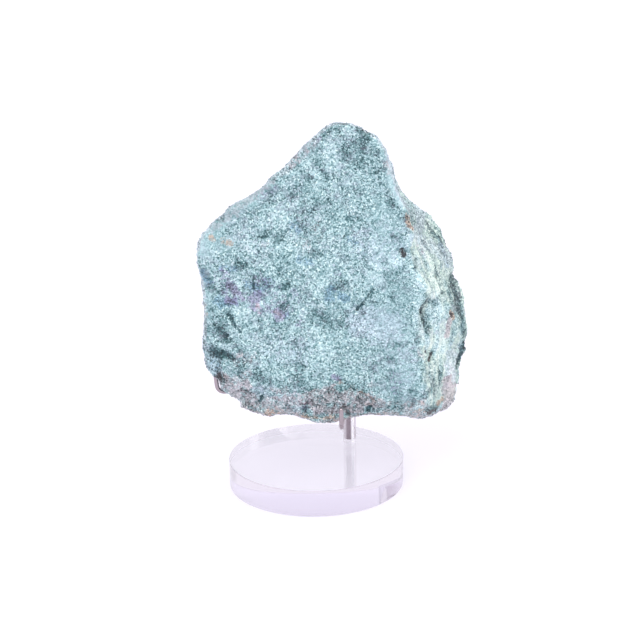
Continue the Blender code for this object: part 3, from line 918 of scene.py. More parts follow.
# The black marks beside the wires, at (-66, 87-92), (12-13, 60-67) and (20-23, 60-68), and the dark
# one at (-69, 85), are painted shadows of the wires over shallow pits.
FOOT_MARKS = marks(
    (Tint.PINK, (5, 0.8, (-62, 90), (-56, 84), (-48, 84)), (4, 0.85, (-58, 79), (-48, 72)),
     (4, 0.55, (-46, 93), (-54, 88)), (4, 0.45, (-42, 104), (-54, 99)),
     (3.4, 0.6, (-28, 79), (-20, 79)), (3.6, 0.75, (-6, 76), (4, 77), (12, 81)),
     (5, 0.8, (0, 66), (10, 64), (30, 64)), (7, 0.75, (-4, 72), (10, 74), (28, 72), (44, 68)),
     (7, 0.72, (-62, 86), (-52, 80), (-44, 72)), (6, 0.7, (-36, 70), (-24, 70), (-12, 72)),
     (3, 0.7, (26, 76), (36, 74), (42, 71)), (4, 0.45, (40, 63), (62, 62)),
     (3, 0.4, (36, 88), (40, 82))),
    (Tint.SILVER, (8, 0.6, (-58, 84), (-48, 78), (-30, 76), (-16, 72))),
    (Tint.PALE, (4, 0.35, (-58, 86), (-50, 84), (-46, 86)), (3.2, 1, -0.4, (80, 72), (73, 65)),
     (2.6, 0.5, (89, 66), (93, 70))),
    (Tint.DARK, (6, 0.35, (4, 68), (20, 68), (40, 66)), (2.6, 0.8, (-51, 97), (-52, 92)),
     (2.4, (-51, 80), (-45, 77)), (2, 0.8, (-50, 75), (-43, 67)), (3.2, (-41, 91), (-33, 86)),
     (2.2, 0.6, (-40, 97), (-38, 94)), (2, 0.7, (-39, 83)),
     (4, 0.38, (-12, 92), (-11, 84), (-3, 78)), (4, 0.3, (-24, 84), (-14, 80)), (2, 0.6, (-12, 94)),
     (2.4, 0.9, (-3, 71), (-8, 64)), (2.4, 0.6, (-20, 68), (-18, 65)), (5, 0.5, (4, 72), (12, 70)),
     (3, 0.9, (12, 78), (17, 79)), (1.6, 0.9, 0.8, (22, 83), (30, 78), (40, 71)),
     (2.4, (30, 72), (34, 69)), (5, 0.5, (20, 82), (32, 79)), (4, (17, 74)), (4, 0.8, (-69, 85)),
     (4, 0.5, (-6, 62), (8, 61)), (5, 0.45, (80, 86), (85, 74)), (3, 0.6, (53, 91), (52, 88)),
     (3, 0.4, (58, 82), (58, 70)), (3, 0.5, (44, 66), (58, 64)), (2.8, 0.7, (68, 77), (68, 68)),
     (3.4, 0.7, (80, 63), (85, 65))),
    (Tint.RUST, (5, 0.24, (10, 80), (20, 84), (30, 79), (42, 70)), (2, 0.45, (-62, 90), (-57, 84)),
     (3, 0.7, (-33, 64), (-27, 63)), (1.6, 0.45, (17, 84), (24, 83), (28, 80)),
     (1.6, 0.5, (28, 80), (36, 75), (43, 70)), (2.4, 0.7, (-8, 60), (12, 59)),
     (2.6, 0.5, (72, 63), (78, 61)), (2.4, 0.8, (86, 68), (89, 71))),
    (Tint.BLACK, (2, 0.8, 0.8, (-66, 92), (-66, 87)), (1.4, 0.6, 0.8, (13, 67), (12, 60)),
     (1.5, 0.85, 1, (20, 68), (23, 60)), (2.2, 0.85, 0.6, (80, 61), (85, 63))),
    (Tint.DEEP, (1.5, 1, 1.5, (-39, 71), (-37, 74)), (1, 0.8, 0.8, (-37, 75), (-34, 82)),
     (1.7, 1, 1.2, (38, 66), (37, 63))),
    (Tint.PURPLE, (2.6, 0.6, 1, (-4, 70), (-8, 64)), (2, 0.8, (13, 89), (17, 87)),
     (3.4, 0.4, (55, 90), (58, 74))),
)
# Along the ridge of the broken right side, the pale marks that stand out paint a highlight on its
# crest, and the dark and deep-green marks cut into its clefts paint shade in them.
RIGHT_MARKS = marks(
    (Tint.RUST, (1.9, 0.8, (64, 202), (65, 199)), (2.5, 0.9, (65, 197), (68, 193)),
     (1.7, 0.35, (83, 162), (85, 154)), (2, 0.8, (94, 134), (96, 130))),
    (Tint.DARK, (1.7, 1, 0.5, (64, 201), (66, 199)), (3.6, 0.55, (93, 155), (95, 134)),
     (3.6, 0.7, (82, 81), (77, 73)), (3.6, 0.6, (57, 71), (58, 61)),
     (2.2, 1, 1.6, (75, 138), (78, 142), (83, 140)), (2.9, 1, 1.2, (75, 138), (76, 130), (79, 122)),
     (1.4, 0.7, 0.7, (83, 142), (88, 148)), (2, 0.8, 0.5, (71, 115), (72, 113)),
     (2.4, 1, 1, (83, 84), (83, 74)), (2.2, 0.8, 0.5, (87, 90), (87, 81)),
     (1.7, 0.8, 0.6, (70, 171), (70, 165)), (1.6, 0.5, (67, 178), (68, 174)),
     (2, 0.7, 0.6, (73, 203), (77, 197), (80, 190)), (6, 0.36, (78, 204), (87, 188), (92, 174)),
     (1.8, 0.9, 0.3, (86, 187), (89, 180)), (1.6, 0.7, 0.3, (80, 194), (83, 190)),
     (4.8, 1, 0.6, (94, 158), (96, 152), (99, 144)),
     (1.6, 0.5, 0.7, (72, 178), (77, 168), (79, 158)),
     (1.6, 0.5, 0.7, (76, 184), (82, 172), (84, 160)), (4, 1, 0.6, (98, 140), (102, 130)),
     (3.4, 0.8, (102, 127), (104, 116)), (4.2, 0.8, 0.8, (104, 111), (102, 102), (99, 95)),
     (1.4, 0.5, (91, 90), (93, 84))),
    (Tint.BLACK, (1.2, 0.7, 0.5, (68, 192)), (2, 0.85, 2, (61, 178), (62, 175)),
     (1.9, 1, 1.4, (81, 104), (80, 100)), (1.1, 0.7, 0.5, (77, 106)),
     (1.5, 0.9, 0.9, (94, 133), (95, 131))),
    (Tint.PALE, (2.6, (66, 188), (66, 180)), (1.7, (55, 219), (59, 211), (63, 205)),
     (5, 0.8, (71, 182), (74, 176), (79, 171)), (3, 1, -1, (70, 161), (74, 155), (78, 150)),
     (2.6, 0.8, -0.8, (73, 148), (71, 139), (70, 129)), (2.6, 1, -0.6, (74, 119), (77, 112)),
     (7.5, (84, 144), (86, 128), (88, 106)), (4, 0.35, (88, 104), (82, 92), (84, 70)),
     (4, 1, -0.6, (74, 113), (82, 111)), (3.6, 0.7, (79, 165), (81, 156)),
     (7, 0.9, (94, 94), (96, 80))),
    (Tint.PINK, (2.2, 0.5, (72, 181), (74, 176)), (3, 0.45, (72, 104), (75, 103)),
     (3.4, 0.9, (93, 127), (92, 118)), (7, (93, 82), (95, 76), (92, 68))),
    (Tint.DEEP, (1.4, 0.8, 0.6, (76, 139), (79, 142)), (1.3, 0.45, 0.4, (75, 135), (77, 124)),
     (2.6, 0.7, (94, 157), (96, 151), (99, 146)), (2, 0.6, (98, 139), (101, 131)),
     (2.6, 0.9, (104, 111), (102, 103), (100, 96))),
    (Tint.SILVER, (7, (72, 206), (86, 192), (93, 172)), (8, (94, 100), (96, 88))),
    (Tint.RIM, (6, 0.6, (94, 92), (96, 84))),
)
SHAPE_MARKS = marks(
    (Tint.SILVER, (4, 0, -1.8, (44, 258), (47, 248), (51, 244)), (4, 0, 2.2, (57, 225)),
     (5, 0, 1.8, (4, 258), (9, 263)), (6, 0, -1.6, (-51, 211), (-42, 216), (-27, 227), (-16, 238)),
     (4, 0, 2.8, (-5, -17, 52), (6, -18, 51)), (4, 0, 1.4, (28, -16, 54), (40, -17, 56)),
     (4, 0, 1.2, (52, -14, 55), (63, -14, 53)), (4, 0, 1.8, (76, -5, 48), (82, -5, 48)),
     (4, 0, -2.4, (-50, -15, 64), (-42, -15, 61), (-34, -15, 59)),
     (4, 0, -2.2, (93, 9, 51), (99, 12, 56)), (4, 0, -1.4, (93, 164), (96, 157)),
     (5, 0, 4.4, (108, 22, 78), (108, 21, 68), (106, 20, 61)),
     (3.5, 0, 2, (-6, -15, 53), (6, -16, 52)), (4, 0, -2.2, (-73, -19, 96), (-70, -19, 89))),
)
BACK_MARKS = marks(
    (Tint.DARK, (7, 0.7, (34, 29, 196), (14, 29, 182)), (5, 0.7, (-40, 26, 132), (-32, 26, 124)),
     (5, 0.7, (78, 28, 134), (86, 28, 116)), (4, 0.8, (18, 28, 232), (28, 27, 226)),
     (3, 0.6, 0.8, (-16, 28, 188), (-30, 27, 176), (-36, 26, 160)),
     (3, 0.6, 0.6, (62, 28, 172), (74, 28, 158), (72, 28, 148)),
     (6, 0.4, (-8, 28, 112), (16, 29, 98)), (3, 0.5, (-18, 27, 158), (-10, 28, 154)),
     (4, 0.6, 1, (-80, 14, 118), (-78, 12, 102)), (3, 0.6, 0.8, (-40, 0, 222), (-24, 4, 234)),
     (3, 0.6, 0.8, (-60, 10, 208), (-46, 14, 214)), (3, 0.6, 0.8, (50, 0, 236), (56, 2, 220))),
    (Tint.PURPLE, (6, 0.5, (-20, 27, 160), (-8, 28, 152)),
     (4, 0.5, (-48, 25, 148), (-52, 24, 138))),
    (Tint.BLUE, (6, 0.6, (50, 28, 156), (58, 28, 146)), (4, 0.6, (-2, 28, 200), (6, 28, 210))),
    (Tint.RUST, (3, 0.7, (60, 28, 96), (70, 27, 88)), (2.4, 0.7, (-50, 22, 118), (-46, 23, 114)),
     (2.4, 0.6, (-84, -6, 146), (-84, -4, 138))),
    (Tint.PINK, (12, 0.7, (0, 27, 76), (40, 26, 70), (80, 26, 68)),
     (5, 0.5, (-44, 24, 98), (-26, 25, 86))),
    (Tint.SILVER, (14, 0.9, (10, 29, 140), (0, 29, 116)), (11, 0.8, (56, 28, 190), (40, 28, 168))),
    (Tint.PALE, (5, 0.6, (40, 24, 216), (46, 22, 206)), (7, 0.5, (22, 29, 160), (34, 29, 172)),
     (6, 0.5, (70, 28, 110), (54, 28, 122)), (5, 0.6, (-50, 25, 172), (-40, 26, 188)),
     (4, 0.7, (-14, 0, 240), (-4, 2, 248))),
    (Tint.BLACK, (1.2, 0.7, 1, (24, 29, 150), (32, 29, 142), (34, 29, 132))),
    (Tint.DEEP, (2, 0.6, 1, (-84, 6, 150), (-84, 8, 132)),
     (1.8, 0.5, 0.8, (-82, -4, 172), (-84, 0, 158))),
)


class StoneSurface:
    """The stone's surface as arrays: its points in millimetres, its normals and its stains."""

    UNDERSIDE_TOP_MM = 78.0
    RAGGED = ((4.0, 31, 1.0), (1.6, 32, 0.6))

    def __init__(self, mesh: Mesh) -> None:
        """Reads the mesh.

        Args:
            mesh: The stone's fine, smooth mesh.
        """
        self.mesh = mesh
        self.points = read_points(mesh) / MM
        self.normals = read_normals(mesh)
        self.stains = {tint: np.zeros(len(self.points)) for tint in Tint}
        self.depth = np.zeros(len(self.points))
        self.ragged = sum(share * self.wobble(size, seed) for size, seed, share in self.RAGGED)
        self.tree = BVHTree.FromPolygons(
            [Vector(point) for point in self.points], [tuple(f.vertices) for f in mesh.polygons]
        )

    def raise_by(self, height: np.ndarray) -> None:
        """Moves each point along its normal by a height in millimetres, inside the CAD box."""
        self.points = self.points + self.normals * height[:, None]
        write_points(self.mesh, self.points * MM)
        self.normals = read_normals(self.mesh)
        self.points = inside_cad_box(self.points * MM) / MM
        write_points(self.mesh, self.points * MM)

    def wobble(self, size: float, seed: int, stretch: Point = (1.0, 1.0, 1.0)) -> np.ndarray:
        """Smooth noise at each point.

        Args:
            size: The size of its features, in millimetres.
            seed: What tells it from other noise.
            stretch: How many times longer its features are along each axis.

        Returns:
            The noise, from -1 to 1.
        """
        shift = np.array((seed * 17.3, seed * -9.1, seed * 5.7))
        places = self.points / (size * np.array(stretch)) + shift
        return np.array([noise.noise(Vector(place)) for place in places])

    def underside(self) -> np.ndarray:
        """How far each point is on the stone's underside, from 0 to 1."""
        low = fade(self.UNDERSIDE_TOP_MM - self.points[:, 2], 10.0)
        return fade(-(self.normals[:, 2] + 0.25), 0.3) * low

    def worn(self) -> np.ndarray:
        """How smooth handling has rubbed each point: the marked rims, and the underside."""
        return np.maximum(self.stains[Tint.WORN], 0.9 * self.underside())

    def grain_heights(self, size: float) -> np.ndarray:
        """How far each point is from the middle of its grain, as a share of the grain's size."""
        places = self.points / size
        return np.array([noise.voronoi(Vector(place))[0][0] for place in places])

    def on_surface(self, place: Point) -> np.ndarray:
        """Finds the surface point that a mark's place is seen on, or else the nearest one.

        Args:
            place: The place, as a mark gives it.

        Returns:
            The point, in millimetres.
        """
        x, *middle, z = place
        on_plane = Vector((x, middle[0] if middle else FACE_PLANE_MM, z))
        struck = None
        if not middle:
            viewer = VIEWER / MM
            struck = self.tree.ray_cast(viewer, (on_plane - viewer).normalized())[0]
        return np.array(struck or self.tree.find_nearest(on_plane)[0])

    def near(self, mark: Mark) -> np.ndarray:
        """How much of a mark each point has.

        Args:
            mark: The mark.

        Returns:
            From 0 away from it to 1 in its middle, with a ragged edge.
        """
        corners = [self.on_surface(place) for place in mark.path]
        distance = np.linalg.norm(self.points - corners[0], axis=1)
        for start, end in zip(corners, corners[1:]):
            run = end - start
            share = np.clip((self.points - start) @ run / (run @ run), 0.0, 1.0)
            foot = start + share[:, None] * run
            distance = np.minimum(distance, np.linalg.norm(self.points - foot, axis=1))
        share = np.zeros(len(self.points))
        close = distance < 3.0 * mark.radius
        ragged = self.ragged[close] * min(1.0, 0.2 + mark.radius / 6)
        inward = 1.0 - distance[close] / (mark.radius * np.maximum(0.5, 1.5 + 0.9 * ragged))
        share[close] = np.clip(1.6 * inward, 0.0, 1.0)
        return share * share * (3 - 2 * share)


@dataclass
class FuchsiteStone:
    """The slab of fuchsite schist, with its fine relief and its stains.

    Attributes:
        swells: The size and height of each layer of relief in millimetres, and its seed.
        layer_ridges: The same of the ridges where the layers are cut across, and how many
            times longer they are along each axis.
        edge_facing: How little the stone faces front or back where it shows its layers.
        broken_mm: How far right its broken side starts.
        broken_top_mm: How high up that ends.
        foot_mm: The height of the foot, which shows no layers.
        foot_step_mm: How much lower that is on the right.
        behind_mm: How far back its rim starts to show layers too.
        clear_of_metal: From 0 where it bears on the metal to 1 away from it, once built.
    """

    name: str = "fuchsite_slab"
    voxel_mm: float = 1.12
    swells: tuple[tuple[float, float, int], ...] = (
        (12.0, 0.45, 21), (5.5, 0.40, 22), (2.7, 0.34, 23), (1.6, 0.26, 24),
    )
    layer_ridges: tuple[tuple[float, float, int, Point], ...] = (
        (1.5, 0.5, 25, (10.0, 1.0, 14.0)), (4.5, 1.3, 26, (3.0, 1.0, 5.0)),
    )
    grain_mm: float = 2.3
    grain_rise_mm: float = 0.45
    grain_middle: float = 0.45
    dark_sink_mm: float = 0.35
    edge_facing: float = 0.84
    broken_mm: float = 46.0
    broken_top_mm: float = 212.0
    foot_mm: float = 66.0
    foot_step_mm: float = 12.0
    behind_mm: float = -14.0
    metal_gap_mm: float = 0.6
    metal_reach_mm: float = 3.0
    marks: tuple[Mark, ...] = (
        *PEAK_MARKS, *FACE_MARKS, *LEFT_MARKS, *FOOT_MARKS, *RIGHT_MARKS, *SHAPE_MARKS, *BACK_MARKS,
    )
    surface: StoneSurface | None = None
    clear_of_metal: np.ndarray | None = None

    def build(self) -> Object:
        """Builds the fine stone, in place of the CAD's faceted one.

        Returns:
            The piece.
        """
        rough = shown(self.name, to_mesh(merged_form("fuchsite_stone"), "rough_slab"))
        remesh = rough.modifiers.new("even_mesh", "REMESH")
        remesh.mode = "VOXEL"
        remesh.voxel_size = self.voxel_mm * MM
        smooth = rough.modifiers.new("no_facets", "SMOOTH")
        smooth.factor = 0.5
        smooth.iterations = 6
        mesh = baked(rough)
        self.surface = StoneSurface(mesh)
        self._stain()
        self._carve()
        for tint, share in self.surface.stains.items():
            write_layer(mesh, tint.value, share)
        mesh.shade_smooth()
        piece = shown(self.name, mesh, RockFinish().make())
        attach(piece, BODY)
        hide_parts("fuchsite_stone")
        return piece

    def _stain(self) -> None:
        """Works out the stains, with the painted shade and highlights of the marks, and where the
        foliation is cut across.
        """
        surface = self.surface
        stains = surface.stains
        facing = np.abs(surface.normals[:, 1]) + 0.14 * surface.ragged
        cut = fade(self.edge_facing - facing, 0.30)
        x, y, z = surface.points.T
        broken = fade(x - self.broken_mm, 12.0) * fade(self.broken_top_mm - z, 20.0)
        foot = self.foot_mm - self.foot_step_mm * fade(x - self.broken_mm - 12.0, 12.0)
        behind = fade(y - self.behind_mm + 5.0 * surface.ragged, 8.0) * (1.0 - broken)
        stains[Tint.EDGE] = cut * np.maximum(broken, 0.62 * behind) * fade(z - foot, 8.0)
        stains[Tint.RIM] = cut * (1.0 - broken) * (1.0 - 0.55 * behind)
        stains[Tint.PINK] = 0.75 * surface.underside()
        stains[Tint.RUST] = 0.35 * surface.underside()
        for mark in self.marks:
            share = surface.near(mark)
            stain = stains[mark.tint]
            np.maximum(stain, mark.strength * share, out=stain)
            surface.depth += mark.depth * share

    def _carve(self) -> None:
        """Carves the relief: swells, grains, the ends of the layers, and the marks' depth."""
        surface = self.surface
        height = sum(rise * surface.wobble(size, seed) for size, rise, seed in self.swells)
        off_middle = surface.grain_heights(self.grain_mm) - self.grain_middle
        height = (height - self.grain_rise_mm * off_middle) * (1.0 - 0.65 * surface.worn())
        ridges = (rise * surface.wobble(size, seed, stretch)
                  for size, rise, seed, stretch in self.layer_ridges)
        height += sum(ridges) * surface.stains[Tint.EDGE]
        height -= surface.depth + self.dark_sink_mm * surface.stains[Tint.DARK]
        self.clear_of_metal = self._room_at_metal()
        surface.raise_by(height * self.clear_of_metal)

    def _room_at_metal(self) -> np.ndarray:
        """Measures how clear of the metal each point of the stone is.

        Returns:
            From 0 where the stone bears on the metal to 1 away from it.
        """
        points, reach = self.surface.points, self.metal_reach_mm
        share = np.ones(len(points))
        for node in ("support_post", "front_prong", "left_prong"):
            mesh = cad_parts[node].data
            metal = BVHTree.FromPolygons(
                [v.co / MM for v in mesh.vertices], [tuple(f.vertices) for f in mesh.polygons]
            )
            low, high = (np.array(corner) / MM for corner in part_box(node))
            close = np.all((points > low - reach) & (points < high + reach), axis=1)
            for index in np.flatnonzero(close):
                gap = metal.find_nearest(Vector(points[index]))[3] - self.metal_gap_mm
                share[index] = min(share[index], max(0.0, gap) / reach)
        return share


class Region(Enum):
    """A stretch of the stone that has its own piece of flakes."""

    UPPER_FACE = "mica_upper_face"
    LOWER_FACE = "mica_lower_face"
    RIGHT_EDGES = "mica_right_edges"
    LEFT_EDGES = "mica_left_edges"
    BACK = "mica_back"


@dataclass
class MicaFlakes:
    """Small mica plates that stand out of the stone, scattered by Geometry Nodes.

    Attributes:
        per_mm2: How many there are on a square millimetre of each region.
        edge_facing: How little the stone faces front or back where it counts as an edge.
        bare_share: How much of the flakes a fully worn, pale or black spot has lost.
        clear_of_metal_from: How clear of the metal the stone is where flakes start.
    """

    SHADE = "flake_shade"
    COVER = "flake_cover"
    SIZES = ("Density", "Smallest", "Largest", "Thickness", "Tilt")

    stone: Object
    surface: StoneSurface
    clear_of_metal: np.ndarray
    per_mm2: dict[Region, float] = field(
        default_factory=lambda: dict(zip(Region, (0.80, 0.76, 0.70, 0.50, 0.42)))
    )
    edge_facing: float = 0.68
    bare_share: float = 0.7
    clear_of_metal_from: float = 0.75
    split_height_mm: float = 140.0
    split_across_mm: float = 30.0
    smallest_mm: float = 0.40
    largest_mm: float = 0.92
    thickness_mm: float = 0.30
    tilt_deg: float = 38.0
    seed: int = 7

    def cover(self, region: Region) -> np.ndarray:
        """Works out how densely a region's flakes lie on the stone.

        Args:
            region: The region.

        Returns:
            The density at each point, from 0 to 1.
        """
        facing = self.surface.normals[:, 1]
        edge = np.abs(facing) < self.edge_facing
        high = self.surface.points[:, 2] >= self.split_height_mm
        right = self.surface.points[:, 0] >= self.split_across_mm
        inside = {
            Region.UPPER_FACE: ~edge & (facing < 0) & high,
            Region.LOWER_FACE: ~edge & (facing < 0) & ~high,
            Region.RIGHT_EDGES: edge & right,
            Region.LEFT_EDGES: edge & ~right,
            Region.BACK: ~edge & (facing >= 0),
        }[region]
        stains = self.surface.stains
        bare = np.maximum(stains[Tint.PALE], stains[Tint.BLACK])
        bare = np.maximum(bare, 0.9 * stains[Tint.DEEP])
        bare = np.maximum(bare, self.surface.worn())
        clear = self.clear_of_metal > self.clear_of_metal_from
        return inside * (1.0 - self.bare_share * bare) * clear

    def tree(self) -> NodeTree:
        """Makes the node tree that scatters the flakes.

        Returns:
            The tree, with named inputs for density, sizes, tilt, seed and material.
        """
        tree = bpy.data.node_groups.new("scatter_flakes", "GeometryNodeTree")
        tree.is_modifier = True
        kinds = {"Geometry": "Geometry", **dict.fromkeys(self.SIZES, "Float"), "Seed": "Int",
                 "Material": "Material"}
        for name, kind in kinds.items():
            tree.interface.new_socket(name, in_out="INPUT", socket_type=f"NodeSocket{kind}")
        tree.interface.new_socket("Geometry", in_out="OUTPUT", socket_type="NodeSocketGeometry")
        board = Board(tree)
        given = board.add("NodeGroupInput").outputs

        def random(turn: int, kind: str, low: object, high: object, seed: int) -> Socket:
            """A random value for each flake, of the kind that has this turn in the node."""
            limits = {2 * turn: low, 2 * turn + 1: high, "Seed": seed}
            return board.add("FunctionNodeRandomValue", limits, data_type=kind).outputs[turn]

        def vector(*parts: object) -> Socket:
            """A vector of three outputs or numbers."""
            return board.add("ShaderNodeCombineXYZ", dict(enumerate(parts))).outputs[0]

        cover = board.add("GeometryNodeInputNamedAttribute", {"Name": self.COVER})
        density = board.times(cover.outputs["Attribute"], given["Density"])
        spread = {"Mesh": given["Geometry"], "Density": density, "Seed": given["Seed"]}
        scatter = board.add("GeometryNodeDistributePointsOnFaces", spread).outputs
        plates = board.add("GeometryNodeJoinGeometry")
        for sides in (4, 5, 6):
            size = {"Vertices": sides, "Radius": 1.0, "Depth": 1.0}
            plate = board.add("GeometryNodeMeshCylinder", size).outputs["Mesh"]
            single = board.add("GeometryNodeGeometryToInstance", {0: plate})
            tree.links.new(single.outputs[0], plates.inputs[0])
        tilt, lean = given["Tilt"], board.times(given["Tilt"], -1.0)
        turns = random(0, "FLOAT_VECTOR", vector(lean, lean, 0.0), vector(tilt, tilt, math.tau), 1)
        turn = board.add("FunctionNodeEulerToRotation", {0: turns}).outputs[0]
        turned = {0: scatter["Rotation"], 1: turn}
        rotation = board.add("FunctionNodeRotateRotation", turned, rotation_space="LOCAL")
        lengths = [random(1, "FLOAT", given["Smallest"], given["Largest"], s) for s in (2, 3)]
        flakes = board.add("GeometryNodeInstanceOnPoints", {
            "Points": scatter["Points"],
            "Instance": plates.outputs[0],
            "Pick Instance": True,
            "Instance Index": random(2, "INT", 0, 2, 4),
            "Rotation": rotation.outputs[0],
            "Scale": vector(*lengths, given["Thickness"]),
        })
        shade = {"Name": self.SHADE, "Value": random(1, "FLOAT", 0.0, 1.0, 5)}
        named = board.add("GeometryNodeStoreNamedAttribute",
                          {"Geometry": flakes.outputs[0], **shade},
                          data_type="FLOAT", domain="INSTANCE")
        real = board.add("GeometryNodeRealizeInstances", {0: named.outputs[0]}).outputs[0]
        dressed = {"Geometry": real, "Material": given["Material"]}
        board.add("NodeGroupOutput", {0: board.add("GeometryNodeSetMaterial", dressed).outputs[0]})
        return tree

    def build(self) -> list[Object]:
        """Scatters the flakes.

        Returns:
            One plain mesh piece for each region.
        """
        tree = self.tree()
        keys = {item.name: item.identifier for item in tree.interface.items_tree
                if item.in_out == "INPUT"}
        material = FlakeFinish().make()
        sizes = (self.smallest_mm * MM, self.largest_mm * MM, self.thickness_mm * MM)
        pieces = []
        for turn, region in enumerate(Region):
            bed = shown(region.value, self.stone.data.copy())
            write_layer(bed.data, self.COVER, self.cover(region))
            scatter = bed.modifiers.new("scatter", "NODES")
            scatter.node_group = tree
            values = (self.per_mm2[region] / MM**2, *sizes, math.radians(self.tilt_deg))
            for name, value in zip(self.SIZES, values):
                scatter[keys[name]] = value
            scatter[keys["Seed"]] = self.seed + turn
            scatter[keys["Material"]] = material
            mesh = baked(bed)
            write_points(mesh, inside_cad_box(read_points(mesh)))
            mesh.polygons.foreach_set("material_index", np.zeros(len(mesh.polygons), np.int32))
            piece = shown(region.value, mesh, material)
            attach(piece, BODY)
            pieces.append(piece)
        return pieces


# --- the stand ---------------------------------------------------------------------------
@dataclass
class SupportPost:
    """The round post, with the braze beads where the wires leave it.

    Attributes:
        bead_sunk_mm: How far a bead runs into the post.
        bead_slim_mm: Its radius where it ends on the wire.
        bead_flare: How quickly it widens onto the post.
        wire_axes: Each wire's CAD node, and the way that it leaves the post.
    """

    name: str = "post_with_braze"
    sides: int = 64
    crown_mm: float = 1.5
    foot_edge_mm: float = 0.3
    bead_sides: int = 32
    bead_steps: int = 8
    bead_sunk_mm: float = 1.3
    bead_reach_mm: float = 2.0
    bead_radius_mm: float = 3.1
    bead_slim_mm: float = 1.64
    bead_flare: float = 2.2
    wire_axes: tuple[tuple[str, Vector], ...] = (
        ("front_prong", Vector((0, -1, 0))),
        ("left_prong", Vector((-1, 0, 0))),
    )

    def bead(self, node: str, heading: Vector) -> Mesh:
        """Makes a bead of braze round a wire, where it leaves the post.

        Args:
            node: The wire's CAD node.
            heading: The way that the wire leaves the post.

        Returns:
            The bead, flared onto the post.
        """
        _, _, centre, radius = round_measures("support_post")
        points = read_points(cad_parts[node].data)
        inside = np.hypot(points[:, 0] - centre.x, points[:, 1] - centre.y) < radius
        height = float(points[inside][:, 2].mean())
        start = Vector((centre.x, centre.y, height)) + heading * radius
        sunk, reach = self.bead_sunk_mm * MM, self.bead_reach_mm * MM
        wide, slim = self.bead_radius_mm * MM, self.bead_slim_mm * MM
        flare = [
            (slim + (wide - slim) * (1 - t) ** self.bead_flare, -sunk + t * (sunk + reach))
            for t in (step / self.bead_steps for step in range(self.bead_steps + 1))
        ]
        profile = [(0.0, -sunk), *flare, (0.0, reach)]
        return to_mesh(lathe(profile, self.bead_sides, start, heading), "bead")

    def build(self) -> Object:
        """Builds the post, in place of the CAD's faceted one.

        Returns:
            The piece.
        """
        low, high, centre, radius = round_measures("support_post")
        edges = self.foot_edge_mm * MM, self.crown_mm * MM
        profile = rounded_profile(radius, high.z - low.z, *edges)
        form = lathe(profile, self.sides, Vector((centre.x, centre.y, low.z)))
        for node, heading in self.wire_axes:
            form.from_mesh(self.bead(node, heading))
        base_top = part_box("acrylic_base")[1].z
        finish = PostReflectionBandsFinish(axis=tuple(centre), sunk=base_top)
        piece = shown(self.name, smoothed(to_mesh(form, self.name)), finish.make())
        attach(piece, BODY)
        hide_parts("support_post")
        return piece


@dataclass
class ProngWire:
    """A bent wire that carries or holds the stone."""

    node: str
    name: str
    finish: SteelFinish
    levels: int = 2
    cad_sides: int = 8
    radius_mm: float = 1.6

    def build(self) -> Object:
        """Rounds the CAD's faceted wire, and gives back what that takes off its radius.

        Returns:
            The piece.
        """
        form = merged_form(self.node)
        bmesh.ops.join_triangles(
            form, faces=form.faces, angle_face_threshold=0.6, angle_shape_threshold=1.2
        )
        wire = shown(self.name, to_mesh(form, "faceted_wire"))
        rounding = wire.modifiers.new("rounding", "SUBSURF")
        rounding.levels = rounding.render_levels = self.levels
        mesh = baked(wire)
        shrunk = 1.0 - (4.0 + 2.0 * math.cos(math.tau / self.cad_sides)) / 6.0
        grown = read_points(mesh) + read_normals(mesh) * self.radius_mm * MM * shrunk
        write_points(mesh, grown)
        mesh.shade_smooth()
        piece = shown(self.name, mesh, self.finish.make())
        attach(piece, BODY)
        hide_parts(self.node)
        return piece


@dataclass
class AcrylicDisc:
    """The clear disc, with the blind hole that the post stands in."""

    name: str = "clear_disc"
    sides: int = 192
    edge_mm: float = 0.12
    hole_gap_mm: float = 0.3
    hole_sides: int = 64
    drill_mm: float = 30.0

    def build(self) -> Object:
        """Builds the disc, in place of the CAD's faceted one.

        Returns:
            The piece.
        """
        low, high, centre, radius = round_measures("acrylic_base")
        edge, gap = self.edge_mm * MM, self.hole_gap_mm * MM
        profile = rounded_profile(radius, high.z - low.z, edge, edge)
        form = lathe(profile, self.sides, Vector((centre.x, centre.y, low.z)))
        disc = shown(self.name, smoothed(to_mesh(form, "whole_disc")))
        post_low, _, post_centre, post_radius = round_measures("support_post")
        floor = Vector((post_centre.x, post_centre.y, post_low.z - gap))
        wall, top = post_radius + gap, self.drill_mm * MM
        drill = lathe([(0.0, 0.0), (wall, 0.0), (wall, top), (0.0, top)], self.hole_sides, floor)
        cutter = shown("drill", smoothed(to_mesh(drill, "drill")))
        cut = disc.modifiers.new("blind_hole", "BOOLEAN")
        cut.operation = "DIFFERENCE"
        cut.object = cutter
        mesh = smoothed(baked(disc))
        bpy.data.objects.remove(cutter)
        piece = shown(self.name, mesh, AcrylicFinish().make(), DrilledAcrylicFinish().make())
        hair, clear_of_bottom, near_wall = 0.01 * MM, 0.5 * MM, 0.1 * MM
        for face in mesh.polygons:
            between = low.z + clear_of_bottom < face.center.z < high.z - hair
            in_hole = (face.center - floor).to_2d().length < wall + near_wall
            face.material_index = int(in_hole and between)
        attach(piece, BODY)
        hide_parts("acrylic_base")
        return piece


